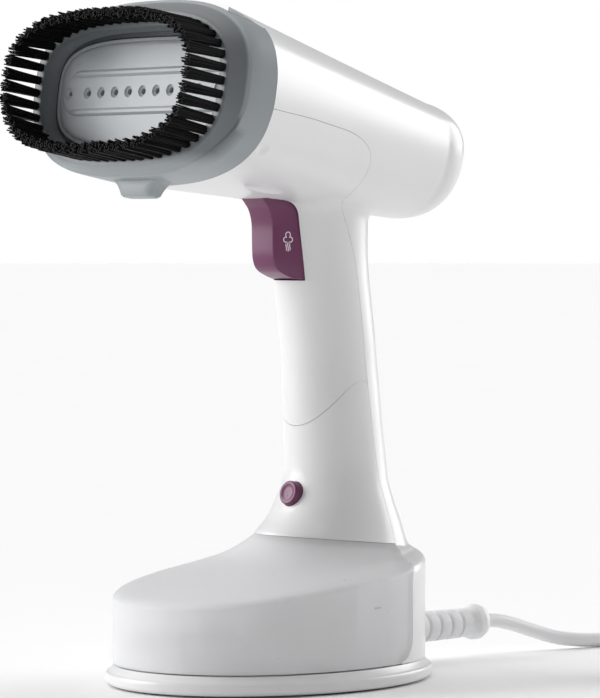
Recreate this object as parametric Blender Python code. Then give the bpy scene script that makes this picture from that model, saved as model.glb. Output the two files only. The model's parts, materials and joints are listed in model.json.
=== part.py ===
"""A hand-held garment steamer that stands on its own round water tank base.

Every sub-part is one closed solid in its own named object. Sizes are in millimetres here, and MM turns them
into Blender's metres when a mesh is made. The steamer stands on Z = 0, its steam plate faces -Y, and it is
symmetric about X = 0. Pieces of the head are made in head axes: X across, Y rearwards, Z up, tilted by
HEAD_TILT about the middle of the brush frame's front face.
"""

import bpy
import bmesh
import numpy as np
from math import cos, hypot, pi, radians, sin, sqrt
from mathutils import Matrix, Vector

MM = 0.001

# ---- driving dimensions, in millimetres -------------------------------------------------------------------
WALL = 2.4                      # thickness of the moulded shells
GAP = 0.3                       # clearance between neighbouring pieces
SIDES = 40                      # facets round a lofted shell

HEAD_TILT = 9.0                 # degrees, front raised
HEAD_FRONT = (0.0, -74.5, 254.0)
HEAD_LENGTH = 178.0
DOME_START = 154.0
FRAME_WIDTH = 66.5              # half width of the brush frame
FRAME_TOP = 37.5
FRAME_BOTTOM = 38.5
FRAME_DEPTH = 16.0
LIP_DEPTH = 4.0                 # depth of the frame under the shell's upper lip
PLATE_FRONT = 2.0
PLATE_WIDE = 55.6
PLATE_LOW = 25.4                # the plate reaches further down than up
SEAT = -6.0                     # depth of the bristle seat, proud of the frame's rim
HOLE_PITCH = 8.88
END_HOLE_STEP = 12.2
HOLE_LEVEL = -1.2
HOLE_RADIUS = 1.5
TUFTS = 54
TUFT_LENGTH = 18.2
BRISTLE_PATH = (59.0, 27.8, 30.9)   # half width, top and bottom of the line of tufts

BASE_HALF = (62.0, 77.0)        # flange
BODY_HALF = (58.0, 73.0)        # tank wall and spine wall
BODY_FLOOR = 9.2
DOCK_Y = 35.8                   # the tank's rear wall
DOCK_CORNER = 10.0
SEAM_Z = 62.5                   # tank top at Y = 0, and how it falls to the rear
SEAM_SLOPE = -0.095

TRIGGER_PIVOT = (13.0, 212.5)   # Y and Z
TRIGGER_HALF = (7.0, 9.6)       # half width at the front and at the back
BUTTON_FACE = (0.0, 10.2, 80.6)
BUTTON_TILT = 15.0
BUTTON_RADIUS = 5.4
PUMP_Y = 38.0
CORD_Z = 16.5
BOSS_AT = (30.0, 56.4)          # the base screws' places, on both sides
CORD_RADIUS = 3.2

# Column sections: height at Y = 0, rise per Y, half width, centre, front depth, rear depth
COLUMN = (
    (9.2, 0.0, 58.0, 0.0, 73.0, 73.0),
    (43.5, 0.115, 58.0, 0.0, 73.0, 73.0),
    (45.6, 0.115, 56.8, 0.0, 71.8, 72.6),
    (46.8, 0.115, 54.0, 0.0, 69.0, 72.0),
    (48.0, 0.110, 49.5, 2.0, 60.0, 69.8),
    (50.3, 0.075, 43.0, 14.0, 44.0, 57.6),
    (53.4, 0.040, 38.5, 26.0, 40.5, 45.5),
    (58.0, -0.030, 34.0, 34.0, 39.5, 37.3),
    (62.5, -0.095, 30.5, 40.0, 40.5, 31.0),
    (69.5, -0.060, 27.5, 40.0, 33.5, 28.0),
    (77.0, -0.020, 25.0, 39.5, 28.0, 24.5),
    (87.0, 0.0, 22.0, 39.5, 24.0, 22.0),
    (97.0, 0.0, 21.0, 38.5, 23.0, 22.5),
    (117.0, 0.0, 20.0, 36.5, 22.5, 22.5),
    (142.0, 0.0, 19.0, 34.5, 22.0, 22.0),
    (175.0, 0.0, 19.0, 30.0, 22.0, 22.0),
    (200.0, 0.0, 19.5, 27.5, 23.0, 24.0),
    (222.0, 0.0, 20.0, 26.0, 24.0, 26.0),
)
SEAM_SECTION = 8                # the column section at the tank's top

# Side view of the parting line between the rear shell and the pieces in front of it: Y and Z
PARTING = (
    (25.8, 8.0), (25.8, 10.0), (29.6, 10.8), (32.9, 12.9), (35.1, 16.2), (35.8, 20.0), (35.8, 47.5), (46.9, 58.3),
    (46.9, 63.0), (36.4, 158.0), (33.5, 178.0), (29.5, 190.0), (26.5, 198.0), (22.5, 206.0), (20.3, 212.0),
    (19.8, 218.0), (18.6, 223.5), (15.4, 228.6), (8.2, 232.8), (-1.5, 235.4), (-31.4, 238.8), (-59.4, 240.8),
)

# The cord's route on its way to the coil, then from the coil to the plug
CORD_ROUTE = (
    (0.0, 129.9, 16.2), (0.0, 140.0, 15.7), (0.6, 151.0, 13.2), (2.0, 163.0, 9.4), (4.4, 176.0, 5.6),
    (8.0, 190.0, 3.7), (11.6, 203.0, 3.3), (15.2, 212.0, 3.3), (17.3, 217.5, 3.4),
)
COIL_CENTRE = (66.0, 236.0)
COIL_RADII = (22.2, 48.2)
COIL_HEIGHTS = (1.2, 14.3)
TAIL_ROUTE = ((113.6, 215.0, 15.6), (113.6, 209.0, 16.8), (113.6, 203.0, 17.6), (113.6, 197.3, 18.0))
PLUG_AT = (113.6, 197.0, 18.0)

PLASTIC_WHITE = ((0.86, 0.86, 0.87), 0.28, 0.0)
PLASTIC_GREY = ((0.26, 0.29, 0.31), 0.42, 0.0)
PLASTIC_DARK = ((0.06, 0.06, 0.065), 0.5, 0.0)
PLASTIC_VIOLET = ((0.24, 0.055, 0.16), 0.35, 0.0)
TANK_CLEAR = ((0.80, 0.82, 0.84), 0.2, 0.0)
BRISTLE_BLACK = ((0.012, 0.012, 0.013), 0.6, 0.0)
RUBBER_GREY = ((0.16, 0.16, 0.17), 0.8, 0.0)
RUBBER_WHITE = ((0.78, 0.78, 0.79), 0.55, 0.0)
ALUMINIUM = ((0.60, 0.61, 0.62), 0.4, 1.0)
PLATE_GREY = ((0.42, 0.44, 0.46), 0.38, 0.3)
STEEL = ((0.55, 0.55, 0.56), 0.3, 1.0)
BRASS = ((0.72, 0.52, 0.22), 0.35, 1.0)
COPPER = ((0.70, 0.33, 0.18), 0.4, 1.0)
BOARD_GREEN = ((0.03, 0.16, 0.07), 0.5, 0.0)
SILICONE = ((0.80, 0.66, 0.55), 0.5, 0.0)

head_axis = None


# ---- tools ------------------------------------------------------------------------------------------------
def clear_scene():
    """Empties the scene of objects."""
    for item in list(bpy.data.objects):
        bpy.data.objects.remove(item, do_unlink=True)


def finish_of(name, finish):
    """A Principled material from a colour, a roughness and a metallic value."""
    colour, roughness, metallic = finish
    material = bpy.data.materials.new(name)
    material.use_nodes = True
    shader = material.node_tree.nodes["Principled BSDF"]
    shader.inputs["Base Color"].default_value = (*colour, 1.0)
    shader.inputs["Roughness"].default_value = roughness
    shader.inputs["Metallic"].default_value = metallic
    material.diffuse_color = (*colour, 1.0)
    return material


def add_piece(name, points, faces, finish, parent=None, smooth=True):
    """One closed mesh object from points in millimetres, its faces turned outwards."""
    mesh = bpy.data.meshes.new(name)
    mesh.from_pydata((np.asarray(points, float) * MM).tolist(), [], faces)
    shape = bmesh.new()
    shape.from_mesh(mesh)
    bmesh.ops.recalc_face_normals(shape, faces=shape.faces)
    shape.to_mesh(mesh)
    shape.free()
    piece = bpy.data.objects.new(name, mesh)
    bpy.context.scene.collection.objects.link(piece)
    piece.parent = parent
    mesh.materials.append(finish_of(name, finish))
    if smooth:
        mesh.shade_smooth()
        mesh.set_sharp_from_angle(angle=radians(32))
    return piece


def loft(name, rings, finish, parent=None, loop=False):
    """A solid through rings of equally many points, capped at both ends, or closed on itself as a loop."""
    count = len(rings[0])
    points = np.vstack(rings)
    pairs = [(row, row + 1) for row in range(len(rings) - 1)]
    if loop:
        pairs.append((len(rings) - 1, 0))
    faces = []
    for row, above in pairs:
        for i in range(count):
            j = (i + 1) % count
            faces.append((row * count + i, row * count + j, above * count + j, above * count + i))
    if not loop:
        faces.append(tuple(range(count)))
        faces.append(tuple(range((len(rings) - 1) * count, len(rings) * count)))
    return add_piece(name, points, faces, finish, parent)


def oval(half_width, top, bottom, exponent=2.0, count=SIDES):
    """Points of a superellipse whose upper and lower half heights may differ."""
    turn = np.linspace(0, 2 * pi, count, endpoint=False)
    across = np.abs(np.cos(turn)) ** (2 / exponent) * np.sign(np.cos(turn)) * half_width
    rise = np.abs(np.sin(turn)) ** (2 / exponent) * np.sign(np.sin(turn))
    return across, rise * np.where(rise > 0, top, bottom)


def head_ring(depth, half_width, top, bottom, exponent, count=SIDES):
    """A section of the head, in head axes."""
    across, up = oval(half_width, top, bottom, exponent, count)
    return np.column_stack([across, np.full(count, depth), up])


def level_ring(height, slope, half_width, centre, front, rear, exponent=2.1, count=SIDES):
    """A section of the column, at a height that may rise or fall towards the rear."""
    across, along = oval(half_width, rear, front, exponent, count)
    along = along + centre
    return np.column_stack([across, along, height + slope * along])


def extrude(name, outline, axis, low, high, finish, parent=None):
    """A straight solid of an outline, along X (outline in Y, Z), Y (in X, Z) or Z (in X, Y)."""
    place = {"X": lambda a, b, c: (c, a, b), "Y": lambda a, b, c: (a, c, b), "Z": lambda a, b, c: (a, b, c)}[axis]
    rings = [np.array([place(a, b, c) for a, b in outline], float) for c in (low, high)]
    return loft(name, rings, finish, parent)


def box(name, low, high, finish, parent=None):
    """A straight block between two corners."""
    outline = ((low[0], low[1]), (high[0], low[1]), (high[0], high[1]), (low[0], high[1]))
    return extrude(name, outline, "Z", low[2], high[2], finish, parent)


def frame_along(direction):
    """Two unit vectors square to a direction."""
    direction = np.asarray(direction, float) / np.linalg.norm(direction)
    helper = np.array([1.0, 0, 0]) if abs(direction[0]) < 0.9 else np.array([0, 0, 1.0])
    side = np.cross(direction, helper)
    side /= np.linalg.norm(side)
    return direction, side, np.cross(direction, side)


def turned(name, profile, at, direction, finish, parent=None, count=20, closed=False):
    """A turned solid. The profile holds (distance along the axis, radius). An open profile is capped at its
    ends, and a closed one runs back along a bore."""
    axis, side, other = frame_along(direction)
    turn = np.linspace(0, 2 * pi, count, endpoint=False)[:, None]
    rings = [np.asarray(at, float) + axis * along + radius * (np.cos(turn) * side + np.sin(turn) * other)
             for along, radius in profile]
    return loft(name, rings, finish, parent, loop=closed)


def smooth_path(route, count):
    """Points at even steps along a smooth curve through a route's own points (a Catmull-Rom spline)."""
    route = np.asarray(route, float)
    ends = np.vstack([2 * route[0] - route[1], route, 2 * route[-1] - route[-2]])
    fine = []
    for a, b, c, d in zip(ends[:-3], ends[1:-2], ends[2:-1], ends[3:]):
        for t in np.linspace(0, 1, 24, endpoint=False):
            fine.append(0.5 * (2 * b + (c - a) * t + (2 * a - 5 * b + 4 * c - d) * t**2
                               + (3 * b - a - 3 * c + d) * t**3))
    fine.append(route[-1])
    fine = np.array(fine)
    run = np.concatenate([[0], np.cumsum(np.linalg.norm(np.diff(fine, axis=0), axis=1))])
    even = np.linspace(0, run[-1], count)
    return np.column_stack([np.interp(even, run, fine[:, k]) for k in range(3)])


def tube(name, points, radius, finish, parent=None, resolution=2):
    """A solid tube along points: a curve with a round bevel and filled caps."""
    curve = bpy.data.curves.new(name, "CURVE")
    curve.dimensions = "3D"
    spline = curve.splines.new("POLY")
    spline.points.add(len(points) - 1)
    for knot, point in zip(spline.points, points):
        knot.co = (*(float(v) * MM for v in point), 1.0)
    curve.bevel_depth = radius * MM
    curve.bevel_resolution = resolution
    curve.use_fill_caps = True
    curve.render_resolution_u = 0
    piece = bpy.data.objects.new(name, curve)
    bpy.context.scene.collection.objects.link(piece)
    piece.parent = parent
    curve.materials.append(finish_of(name, finish))
    return piece


def helix(centre, radius, pitch, turns, steps=12):
    """Points of a coil spring that stands along Z."""
    turn = np.linspace(0, 2 * pi * turns, int(steps * turns) + 1)
    return np.column_stack([centre[0] + radius * np.cos(turn), centre[1] + radius * np.sin(turn),
                            centre[2] + pitch * turn / (2 * pi)])


def combine(target, other, operation, keep=False):
    """Applies an exact Boolean to the target and deletes the other solid unless it is kept."""
    step = target.modifiers.new("combine", "BOOLEAN")
    step.operation = operation
    step.object = other
    step.solver = "EXACT"
    bpy.context.view_layer.update()
    seen = target.evaluated_get(bpy.context.evaluated_depsgraph_get())
    mesh = bpy.data.meshes.new_from_object(seen)
    target.modifiers.clear()
    material = target.data.materials[0]
    mesh.materials.clear()
    mesh.materials.append(material)
    mesh.polygons.foreach_set("material_index", [0] * len(mesh.polygons))
    mesh.name = target.name
    target.data = mesh
    if not keep:
        bpy.data.objects.remove(other, do_unlink=True)
    return target


def cut(target, other, keep=False):
    """Takes a solid away from the target."""
    return combine(target, other, "DIFFERENCE", keep)


def join(target, other, keep=False):
    """Adds a solid to the target, as one body."""
    return combine(target, other, "UNION", keep)


def keep_inside(target, other, keep=False):
    """Keeps the part of the target that lies inside a solid."""
    return combine(target, other, "INTERSECT", keep)


def copy_of(piece, name):
    """A separate copy of a piece under another name."""
    twin = piece.copy()
    twin.data = piece.data.copy()
    twin.name = name
    bpy.context.scene.collection.objects.link(twin)
    return twin


def named(piece, name, finish):
    """Gives a cut piece its final name and its own material."""
    piece.name = name
    piece.data.name = name
    piece.data.materials.clear()
    piece.data.materials.append(finish_of(name, finish))
    piece.data.shade_smooth()
    piece.data.set_sharp_from_angle(angle=radians(32))
    return piece


def set_origin(piece, point):
    """Moves a piece's origin to a point in millimetres and leaves its mesh where it is."""
    target = Vector(point) * MM
    piece.data.transform(Matrix.Translation(-target))
    piece.location = target


# ---- shapes shared by several pieces ----------------------------------------------------------------------
def offset_line(line, distance):
    """The parting line moved forwards by a distance, square to itself."""
    line = np.asarray(line, float)
    step = np.gradient(line, axis=0)
    normal = np.column_stack([-step[:, 1], step[:, 0]])
    return line + distance * normal / np.linalg.norm(normal, axis=1)[:, None]


def front_region(name, distance):
    """Everything in front of the parting line, moved forwards by a distance, as a solid across X."""
    line = offset_line(PARTING, distance)
    outline = [(line[0][0], -12.0), *map(tuple, line), (-125.0, line[-1][1] + 4.6), (-125.0, -12.0)]
    return extrude(name, outline, "X", -95, 95, PLASTIC_WHITE)


def below_seam(name, rise):
    """Everything under the slanting plane at the tank's top, raised by a distance."""
    outline = [(-125, -20), (90, -20), (90, SEAM_Z + SEAM_SLOPE * 90 + rise),
               (-125, SEAM_Z + SEAM_SLOPE * -125 + rise)]
    return extrude(name, outline, "X", -95, 95, PLASTIC_WHITE)


def column_rings(shrink, sections, drop=0.0):
    """Column sections drawn in by a wall thickness, and lowered where the shoulder slopes."""
    rings = []
    for height, slope, half_width, centre, front, rear in sections:
        lowered = drop if 44 < height < 63 else 0.0
        rings.append(level_ring(height - lowered, slope, half_width - shrink, centre, front - shrink,
                                rear - shrink))
    return rings


def head_section(depth, shrink=0.0):
    """The head's section at a depth: straight taper, then a round dome."""
    share = min(max((depth - FRAME_DEPTH) / (DOME_START - FRAME_DEPTH), -0.3), 1.0)
    half_width = 67.5 + (31.5 - 67.5) * share
    top = 38.0 + (22.3 - 38.0) * share
    bottom = 39.0 + (30.4 - 39.0) * share
    exponent = 2.45 - 0.2 * max(share, 0)
    dome_length = HEAD_LENGTH - DOME_START - shrink
    if depth > DOME_START:
        share = min((depth - DOME_START) / dome_length, 0.9985)
        closing = (1 - share**2.2) ** (1 / 2.2)
        return head_ring(depth, (half_width - shrink) * closing, (top - shrink) * closing,
                         (bottom - shrink) * closing, exponent)
    return head_ring(depth, half_width - shrink, top - shrink, bottom - shrink, exponent)


def lip_outline(grow):
    """The shell's upper lip over the brush frame, in head axes X and Y."""
    return [(-56 - grow, 40), (-56 - grow, FRAME_DEPTH - 1), (-46 - grow, LIP_DEPTH - grow),
            (46 + grow, LIP_DEPTH - grow), (56 + grow, FRAME_DEPTH - 1), (56 + grow, 40)]


# ---- casings ----------------------------------------------------------------------------------------------
def make_casings():
    """Rear shell, grip panel and front shell, cut from one hollow body along the parting lines."""
    dome = [DOME_START + (HEAD_LENGTH - DOME_START) * share for share in (0.3, 0.55, 0.75, 0.88, 0.96, 1.0)]
    outer = loft("body", column_rings(0, COLUMN), PLASTIC_WHITE)
    join(outer, loft("head_out", [head_section(s) for s in (LIP_DEPTH + GAP, FRAME_DEPTH, 60, 110, DOME_START, *dome)],
                     PLASTIC_WHITE, head_axis))
    inner_sections = ((-14.0, 0.0, 58.0, 0.0, 73.0, 73.0), *COLUMN[1:])
    inner = loft("hollow", column_rings(WALL, inner_sections, drop=1.6), PLASTIC_WHITE)
    dock = [(-120, -20), (DOCK_Y + WALL, -20), (DOCK_Y + WALL, 50.2), (47.5, SEAM_Z + SEAM_SLOPE * 47.5 + WALL),
            (-120, SEAM_Z + SEAM_SLOPE * -120 + WALL)]
    cut(inner, extrude("dock", dock, "X", -95, 95, PLASTIC_WHITE))
    dome_in = [DOME_START + (HEAD_LENGTH - DOME_START - WALL) * share for share in (0.35, 0.65, 0.85, 0.97)]
    join(inner, loft("head_in", [head_section(s, WALL) for s in (-6.0, FRAME_DEPTH, 110, DOME_START, *dome_in)],
                     PLASTIC_WHITE, head_axis))
    cut(outer, inner)

    # the head's front is stepped back for the brush frame, except under the upper lip
    step = box("frame_space", (-90, -20, -80), (90, FRAME_DEPTH + GAP, 80), PLASTIC_WHITE, head_axis)
    cut(step, extrude("lip", lip_outline(0), "Z", 0, 90, PLASTIC_WHITE, head_axis))
    cut(outer, step)

    front = copy_of(outer, "front")
    keep_inside(front, front_region("front_in", GAP / 2))
    cut(front, below_seam("seam", GAP / 2))
    rear = cut(outer, front_region("front_out", -GAP / 2))

    # the grip panel ends in a round tongue on the front of the handle
    tongue = [(19.5 * sin(a), 133 - 23.5 * cos(a)) for a in np.linspace(-pi / 2, pi / 2, 15)]
    lower = copy_of(front, "lower")
    tongue_gap = [(x * (1 + GAP / 19.5), z - GAP) for x, z in tongue]
    cut(lower, extrude("tongue_gap", [(-95, 133 - GAP), *tongue_gap, (95, 133 - GAP), (95, 300), (-95, 300)], "Y",
                       -125, 60, PLASTIC_WHITE))
    panel = keep_inside(front, extrude("tongue", [(-95, 133), *tongue, (95, 133), (95, 300), (-95, 300)], "Y",
                                       -125, 60, PLASTIC_WHITE))
    opening = [(-40, 172.6), (17.5, 172.6), (17.5, 212.5), (-11.8, 212.5), (-11.8, 200.0), (-40, 200.0)]
    cut(panel, extrude("trigger_opening", opening, "X", -10.0, 10.0, PLASTIC_WHITE))
    cut(lower, turned("button_hole", [(-12, BUTTON_RADIUS + GAP), (4, BUTTON_RADIUS + GAP)], BUTTON_FACE,
                      button_axis(), PLASTIC_WHITE))

    # the spine's screw bosses, cord hole and water port hole
    for side in (-1, 1):
        at = (side * BOSS_AT[0], BOSS_AT[1], BODY_FLOOR)
        join(rear, turned("boss", [(0, 4.4), (16, 4.4)], at, (0, 0, 1), PLASTIC_WHITE, count=12))
        cut(rear, turned("pilot", [(-3, 1.9), (13, 1.9)], at, (0, 0, 1), PLASTIC_WHITE, count=8))
    cut(rear, turned("cord_hole", [(60, 7.3), (90, 7.3)], (0, 0, CORD_Z), (0, 1, 0), PLASTIC_WHITE))
    cut(rear, turned("port_hole", [(30, 4.5), (42, 4.5)], (0, 0, 27), (0, 1, 0), PLASTIC_WHITE, count=12))
    named(rear, "rear_shell", PLASTIC_WHITE)
    named(panel, "grip_panel", PLASTIC_WHITE)
    named(lower, "front_shell", PLASTIC_WHITE)


# ---- steam head -------------------------------------------------------------------------------------------
def make_brush():
    """The clip-on brush frame with its release tab, and its ring of bristle tufts."""
    outer = ((SEAT, 61.6, 31.0, 34.0, 2.8), (-4.6, 62.2, 31.8, 34.6, 2.75), (-1.2, 63.6, 33.8, 36.0, 2.7),
             (1.6, 66.0, 37.0, 38.0, 2.6), (2.6, FRAME_WIDTH, FRAME_TOP, FRAME_BOTTOM, 2.6),
             (FRAME_DEPTH, FRAME_WIDTH + 0.9, FRAME_TOP + 0.4, FRAME_BOTTOM + 0.4, 2.6))
    inner = ((FRAME_DEPTH, FRAME_WIDTH - 2.4, FRAME_TOP - 2.8, FRAME_BOTTOM - 2.8),
             (3.0, FRAME_WIDTH - 3.0, FRAME_TOP - 3.2, FRAME_BOTTOM - 3.2))
    mouth = ((3.0, 56.8, 24.2, 27.8), (SEAT, 56.3, 24.2, 28.0))
    rings = [head_ring(*row) for row in outer] + [head_ring(*row, 2.6) for row in inner]
    rings += [head_ring(*row, 3.2) for row in mouth]
    frame = loft("brush_frame", rings, PLASTIC_GREY, head_axis, loop=True)
    tab = [(-1.2, -37.2), (8.6, -37.2), (8.0, -44.0), (6.4, -45.4), (0.6, -45.4), (-0.8, -44.2)]
    join(frame, extrude("tab", tab, "X", -12, 12, PLASTIC_GREY, head_axis))
    cut(frame, extrude("lip_space", lip_outline(GAP), "Z", 4, 90, PLASTIC_GREY, head_axis))
    named(frame, "brush_frame", PLASTIC_GREY)

    cells = 2 * TUFTS
    turn = np.linspace(0, 2 * pi, 720, endpoint=False)
    path = np.column_stack(oval(*BRISTLE_PATH, 2.8, 720))
    run = np.concatenate([[0], np.cumsum(np.linalg.norm(np.diff(np.vstack([path, path[:1]]), axis=0), axis=1))])
    closed = np.vstack([path, path[:1]])
    even = np.linspace(0, run[-1], cells, endpoint=False)
    centre = np.column_stack([np.interp(even, run, closed[:, k]) for k in range(2)])
    ahead = np.roll(centre, -1, axis=0) - np.roll(centre, 1, axis=0)
    normal = np.column_stack([ahead[:, 1], -ahead[:, 0]]) / np.linalg.norm(ahead, axis=1)[:, None]
    points = []
    for depth, side in ((SEAT - 0.3, -2.2), (SEAT - 0.3, 2.2), (SEAT - 1.6, 2.2), (SEAT - 1.6, -2.2)):
        flat = centre + side * normal
        points.append(np.column_stack([flat[:, 0], np.full(cells, depth), flat[:, 1]]))
    points = list(np.vstack(points))
    faces = []
    for i in range(cells):
        j = (i + 1) % cells
        corner = lambda row, k: row * cells + k
        faces += [(corner(r, i), corner(r, j), corner((r + 1) % 4, j), corner((r + 1) % 4, i)) for r in (0, 1, 3)]
        top = [corner(2, i), corner(2, j), corner(3, j), corner(3, i)]
        if i % 2:
            faces.append(tuple(top))
            continue
        middle = sum(points[k] for k in top) / 4
        root = len(points)
        points += [middle + 0.72 * (points[k] - middle) for k in top]
        tip = len(points)
        points += [middle + 1.02 * (points[k] - middle) + np.array([0, -TUFT_LENGTH, 0]) for k in top]
        for k in range(4):
            n = (k + 1) % 4
            faces.append((top[k], top[n], root + n, root + k))
            faces.append((root + k, root + n, tip + n, tip + k))
        faces.append(tuple(tip + k for k in range(4)))
    add_piece("bristle_ring", points, faces, BRISTLE_BLACK, head_axis, smooth=False)


def make_steam_head():
    """Bezel, gasket, steam plate, steam generator, its heater and safety parts, inside the head."""
    bezel = [head_ring(2.9 + GAP, 62.6, 33.4, 34.4, 2.6), head_ring(FRAME_DEPTH + GAP, 62.8, 33.6, 34.6, 2.6),
             head_ring(FRAME_DEPTH + 1, 64.2, 34.6, 35.6, 2.5), head_ring(24, 62.4, 33.8, 34.8, 2.5),
             head_ring(24, 58.8, 30.5, 30.5, 2.8), head_ring(6.4, 58.8, 30.5, 30.5, 2.8),
             head_ring(6.4, 56.0, 22.2, PLATE_LOW + 0.4, 3.4),
             head_ring(2.9 + GAP, 56.0, 22.2, PLATE_LOW + 0.4, 3.4)]
    loft("head_bezel", bezel, PLASTIC_GREY, head_axis, loop=True)

    plate = [head_ring(PLATE_FRONT, PLATE_WIDE - 0.8, 21, PLATE_LOW - 0.8, 3.4),
             head_ring(PLATE_FRONT + 0.8, PLATE_WIDE, 21.8, PLATE_LOW, 3.4),
             head_ring(6.9, PLATE_WIDE, 21.8, PLATE_LOW, 3.4), head_ring(6.9, 57.6, 27, 28.5, 3.2),
             head_ring(9.0, 57.6, 27, 28.5, 3.2)]
    steam_plate = loft("steam_plate", plate, PLATE_GREY, head_axis)
    inner_holes = [HOLE_PITCH * k for k in range(-4, 5)]
    for across in [-4 * HOLE_PITCH - END_HOLE_STEP, *inner_holes, 4 * HOLE_PITCH + END_HOLE_STEP]:
        cut(steam_plate, turned("steam_hole", [(0, HOLE_RADIUS), (12, HOLE_RADIUS)], (across, 0, HOLE_LEVEL), (0, 1, 0),
                                PLATE_GREY, head_axis, count=8))

    loft("plate_gasket", [head_ring(9.3, 56.5, 27, 27, 3.2), head_ring(10.5, 56.5, 27, 27, 3.2),
                          head_ring(10.5, 51.5, 22, 22, 3.2), head_ring(9.3, 51.5, 22, 22, 3.2)],
         SILICONE, head_axis, loop=True)

    block = loft("steam_generator", [head_ring(10.8, 56, 26.6, 26.6, 3.0), head_ring(26, 54, 25, 25, 3.0)],
                 ALUMINIUM, head_axis)
    cut(block, loft("steam_chamber", [head_ring(5, 49, 13, 13, 3.4), head_ring(20, 47, 12, 12, 3.4)], ALUMINIUM,
                    head_axis))
    cut(block, turned("steam_way", [(15, 1.8), (30, 1.8)], (0, 0, 0), (0, 1, 0), ALUMINIUM, head_axis, count=10))
    for side in (-1, 1):
        cut(block, turned("tapping", [(12, 1.6), (30, 1.6)], (side * 27, 0, 17.5 * side), (0, 1, 0), ALUMINIUM,
                          head_axis, count=8))

    legs = [(-46, 41, 10), (-46, 34, 10), (-45, 30.5, 10), (-41, 29.5, 10), (20, 29.5, 10)]
    bend = [(20 + 10 * sin(a), 29.5, 10 * cos(a)) for a in np.linspace(0.3, pi - 0.3, 7)]
    back = [(x, y, -z) for x, y, z in reversed(legs)]
    tube("heating_element", legs + bend + back, 3.1, STEEL, head_axis)
    clamp = extrude("element_clamp", [(-36, -19), (34, -19), (34, 19), (-36, 19)], "Y", 32.9, 34.7, STEEL, head_axis)
    cut(clamp, turned("pipe_space", [(30, 4.6), (40, 4.6)], (0, 0, 0), (0, 1, 0), STEEL, head_axis, count=10))
    for number, side in ((1, -1), (2, 1)):
        cut(clamp, turned("screw_space", [(30, 1.9), (40, 1.9)], (side * 27, 0, 17.5 * side), (0, 1, 0), STEEL,
                          head_axis, count=8))
        turned(f"clamp_screw_{number}", [(13, 1.2), (35, 1.2), (35, 2.9), (36.6, 2.9)], (side * 27, 0, 17.5 * side),
               (0, 1, 0), STEEL, head_axis, count=8)
    turned("steam_pipe", [(26.3, 3.6), (40.5, 3.6), (41.5, 3.0), (41.5, 1.5), (26.3, 1.5)], (0, 0, 0), (0, 1, 0),
           BRASS, head_axis, count=12, closed=True)
    turned("thermostat", [(35.0, 8.0), (39.5, 8.0), (39.5, 6.0), (43.5, 6.0)], (20, 0, 0), (0, 1, 0), STEEL,
           head_axis, count=20)
    turned("thermal_fuse", [(-8, 1.0), (-7, 2.2), (7, 2.2), (8, 1.0)], (-20, 37.2, 0), (1, 0, 0), SILICONE,
           head_axis, count=10)
    loft("heat_shield", [head_ring(10.8, 58.3, 29.9, 29.9, 2.9), head_ring(46, 55.2, 28.6, 28.6, 2.9),
                         head_ring(46, 54.0, 27.4, 27.4, 2.9), head_ring(10.8, 57.1, 28.7, 28.7, 2.9)],
         PLASTIC_DARK, head_axis, loop=True)


# ---- trigger and pump in the handle -----------------------------------------------------------------------
def make_trigger():
    """The finger trigger on its pin and bracket, its torsion spring and its switch."""
    front_half, back_half = TRIGGER_HALF
    stations = (((-11, 208.3), (15, 208.0)), ((-7, 203.6), (13, 203)), ((-4.8, 196), (9.5, 197)),
                ((-4.5, 184), (9.5, 185)), ((-3.5, 179.6), (9.5, 180.2)), ((2, 175.4), (9.5, 176.2)),
                ((6.6, 173.5), (9.5, 173.6)))
    rings = [np.array([(-front_half, *front), (front_half, *front), (back_half, *back), (-back_half, *back)], float)
             for front, back in stations]
    trigger = loft("trigger", rings, PLASTIC_VIOLET)
    y, z = TRIGGER_PIVOT
    join(trigger, box("lug", (-5, y - 5, z - 6), (5, y + 3.4, z + 3.4), PLASTIC_VIOLET))
    cut(trigger, box("spring_slot", (-2.7, y - 8, z - 4.0), (2.7, y + 8, z + 8), PLASTIC_VIOLET))
    cut(trigger, turned("pin_hole", [(-12, 1.6), (12, 1.6)], (0, y, z), (1, 0, 0), PLASTIC_VIOLET, count=12))
    named(trigger, "trigger", PLASTIC_VIOLET)
    set_origin(trigger, (0, y, z))
    turned("trigger_pin", [(-8, 1.25), (8, 1.25)], (0, y, z), (1, 0, 0), STEEL, count=12)
    bracket = box("trigger_bracket", (-8.2, y - 4.5, z - 3.5), (8.2, y + 7, z + 5), PLASTIC_WHITE)
    cut(bracket, box("lug_space", (-5.6, y - 9, z - 9), (5.6, y + 4.4, z + 9), PLASTIC_WHITE))
    cut(bracket, turned("pin_hole", [(-12, 1.6), (12, 1.6)], (0, y, z), (1, 0, 0), PLASTIC_WHITE, count=12))
    named(bracket, "trigger_bracket", PLASTIC_WHITE)
    coil = helix((0, 0, -2.0), 2.5, 1.3, 3)
    coil = np.column_stack([coil[:, 2], y + coil[:, 0], z + coil[:, 1]])
    tube("trigger_spring", coil, 0.4, STEEL, resolution=1)
    box("trigger_switch", (-3.2, 15.5, 178), (3.2, 25.5, 197), PLASTIC_DARK)


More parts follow.
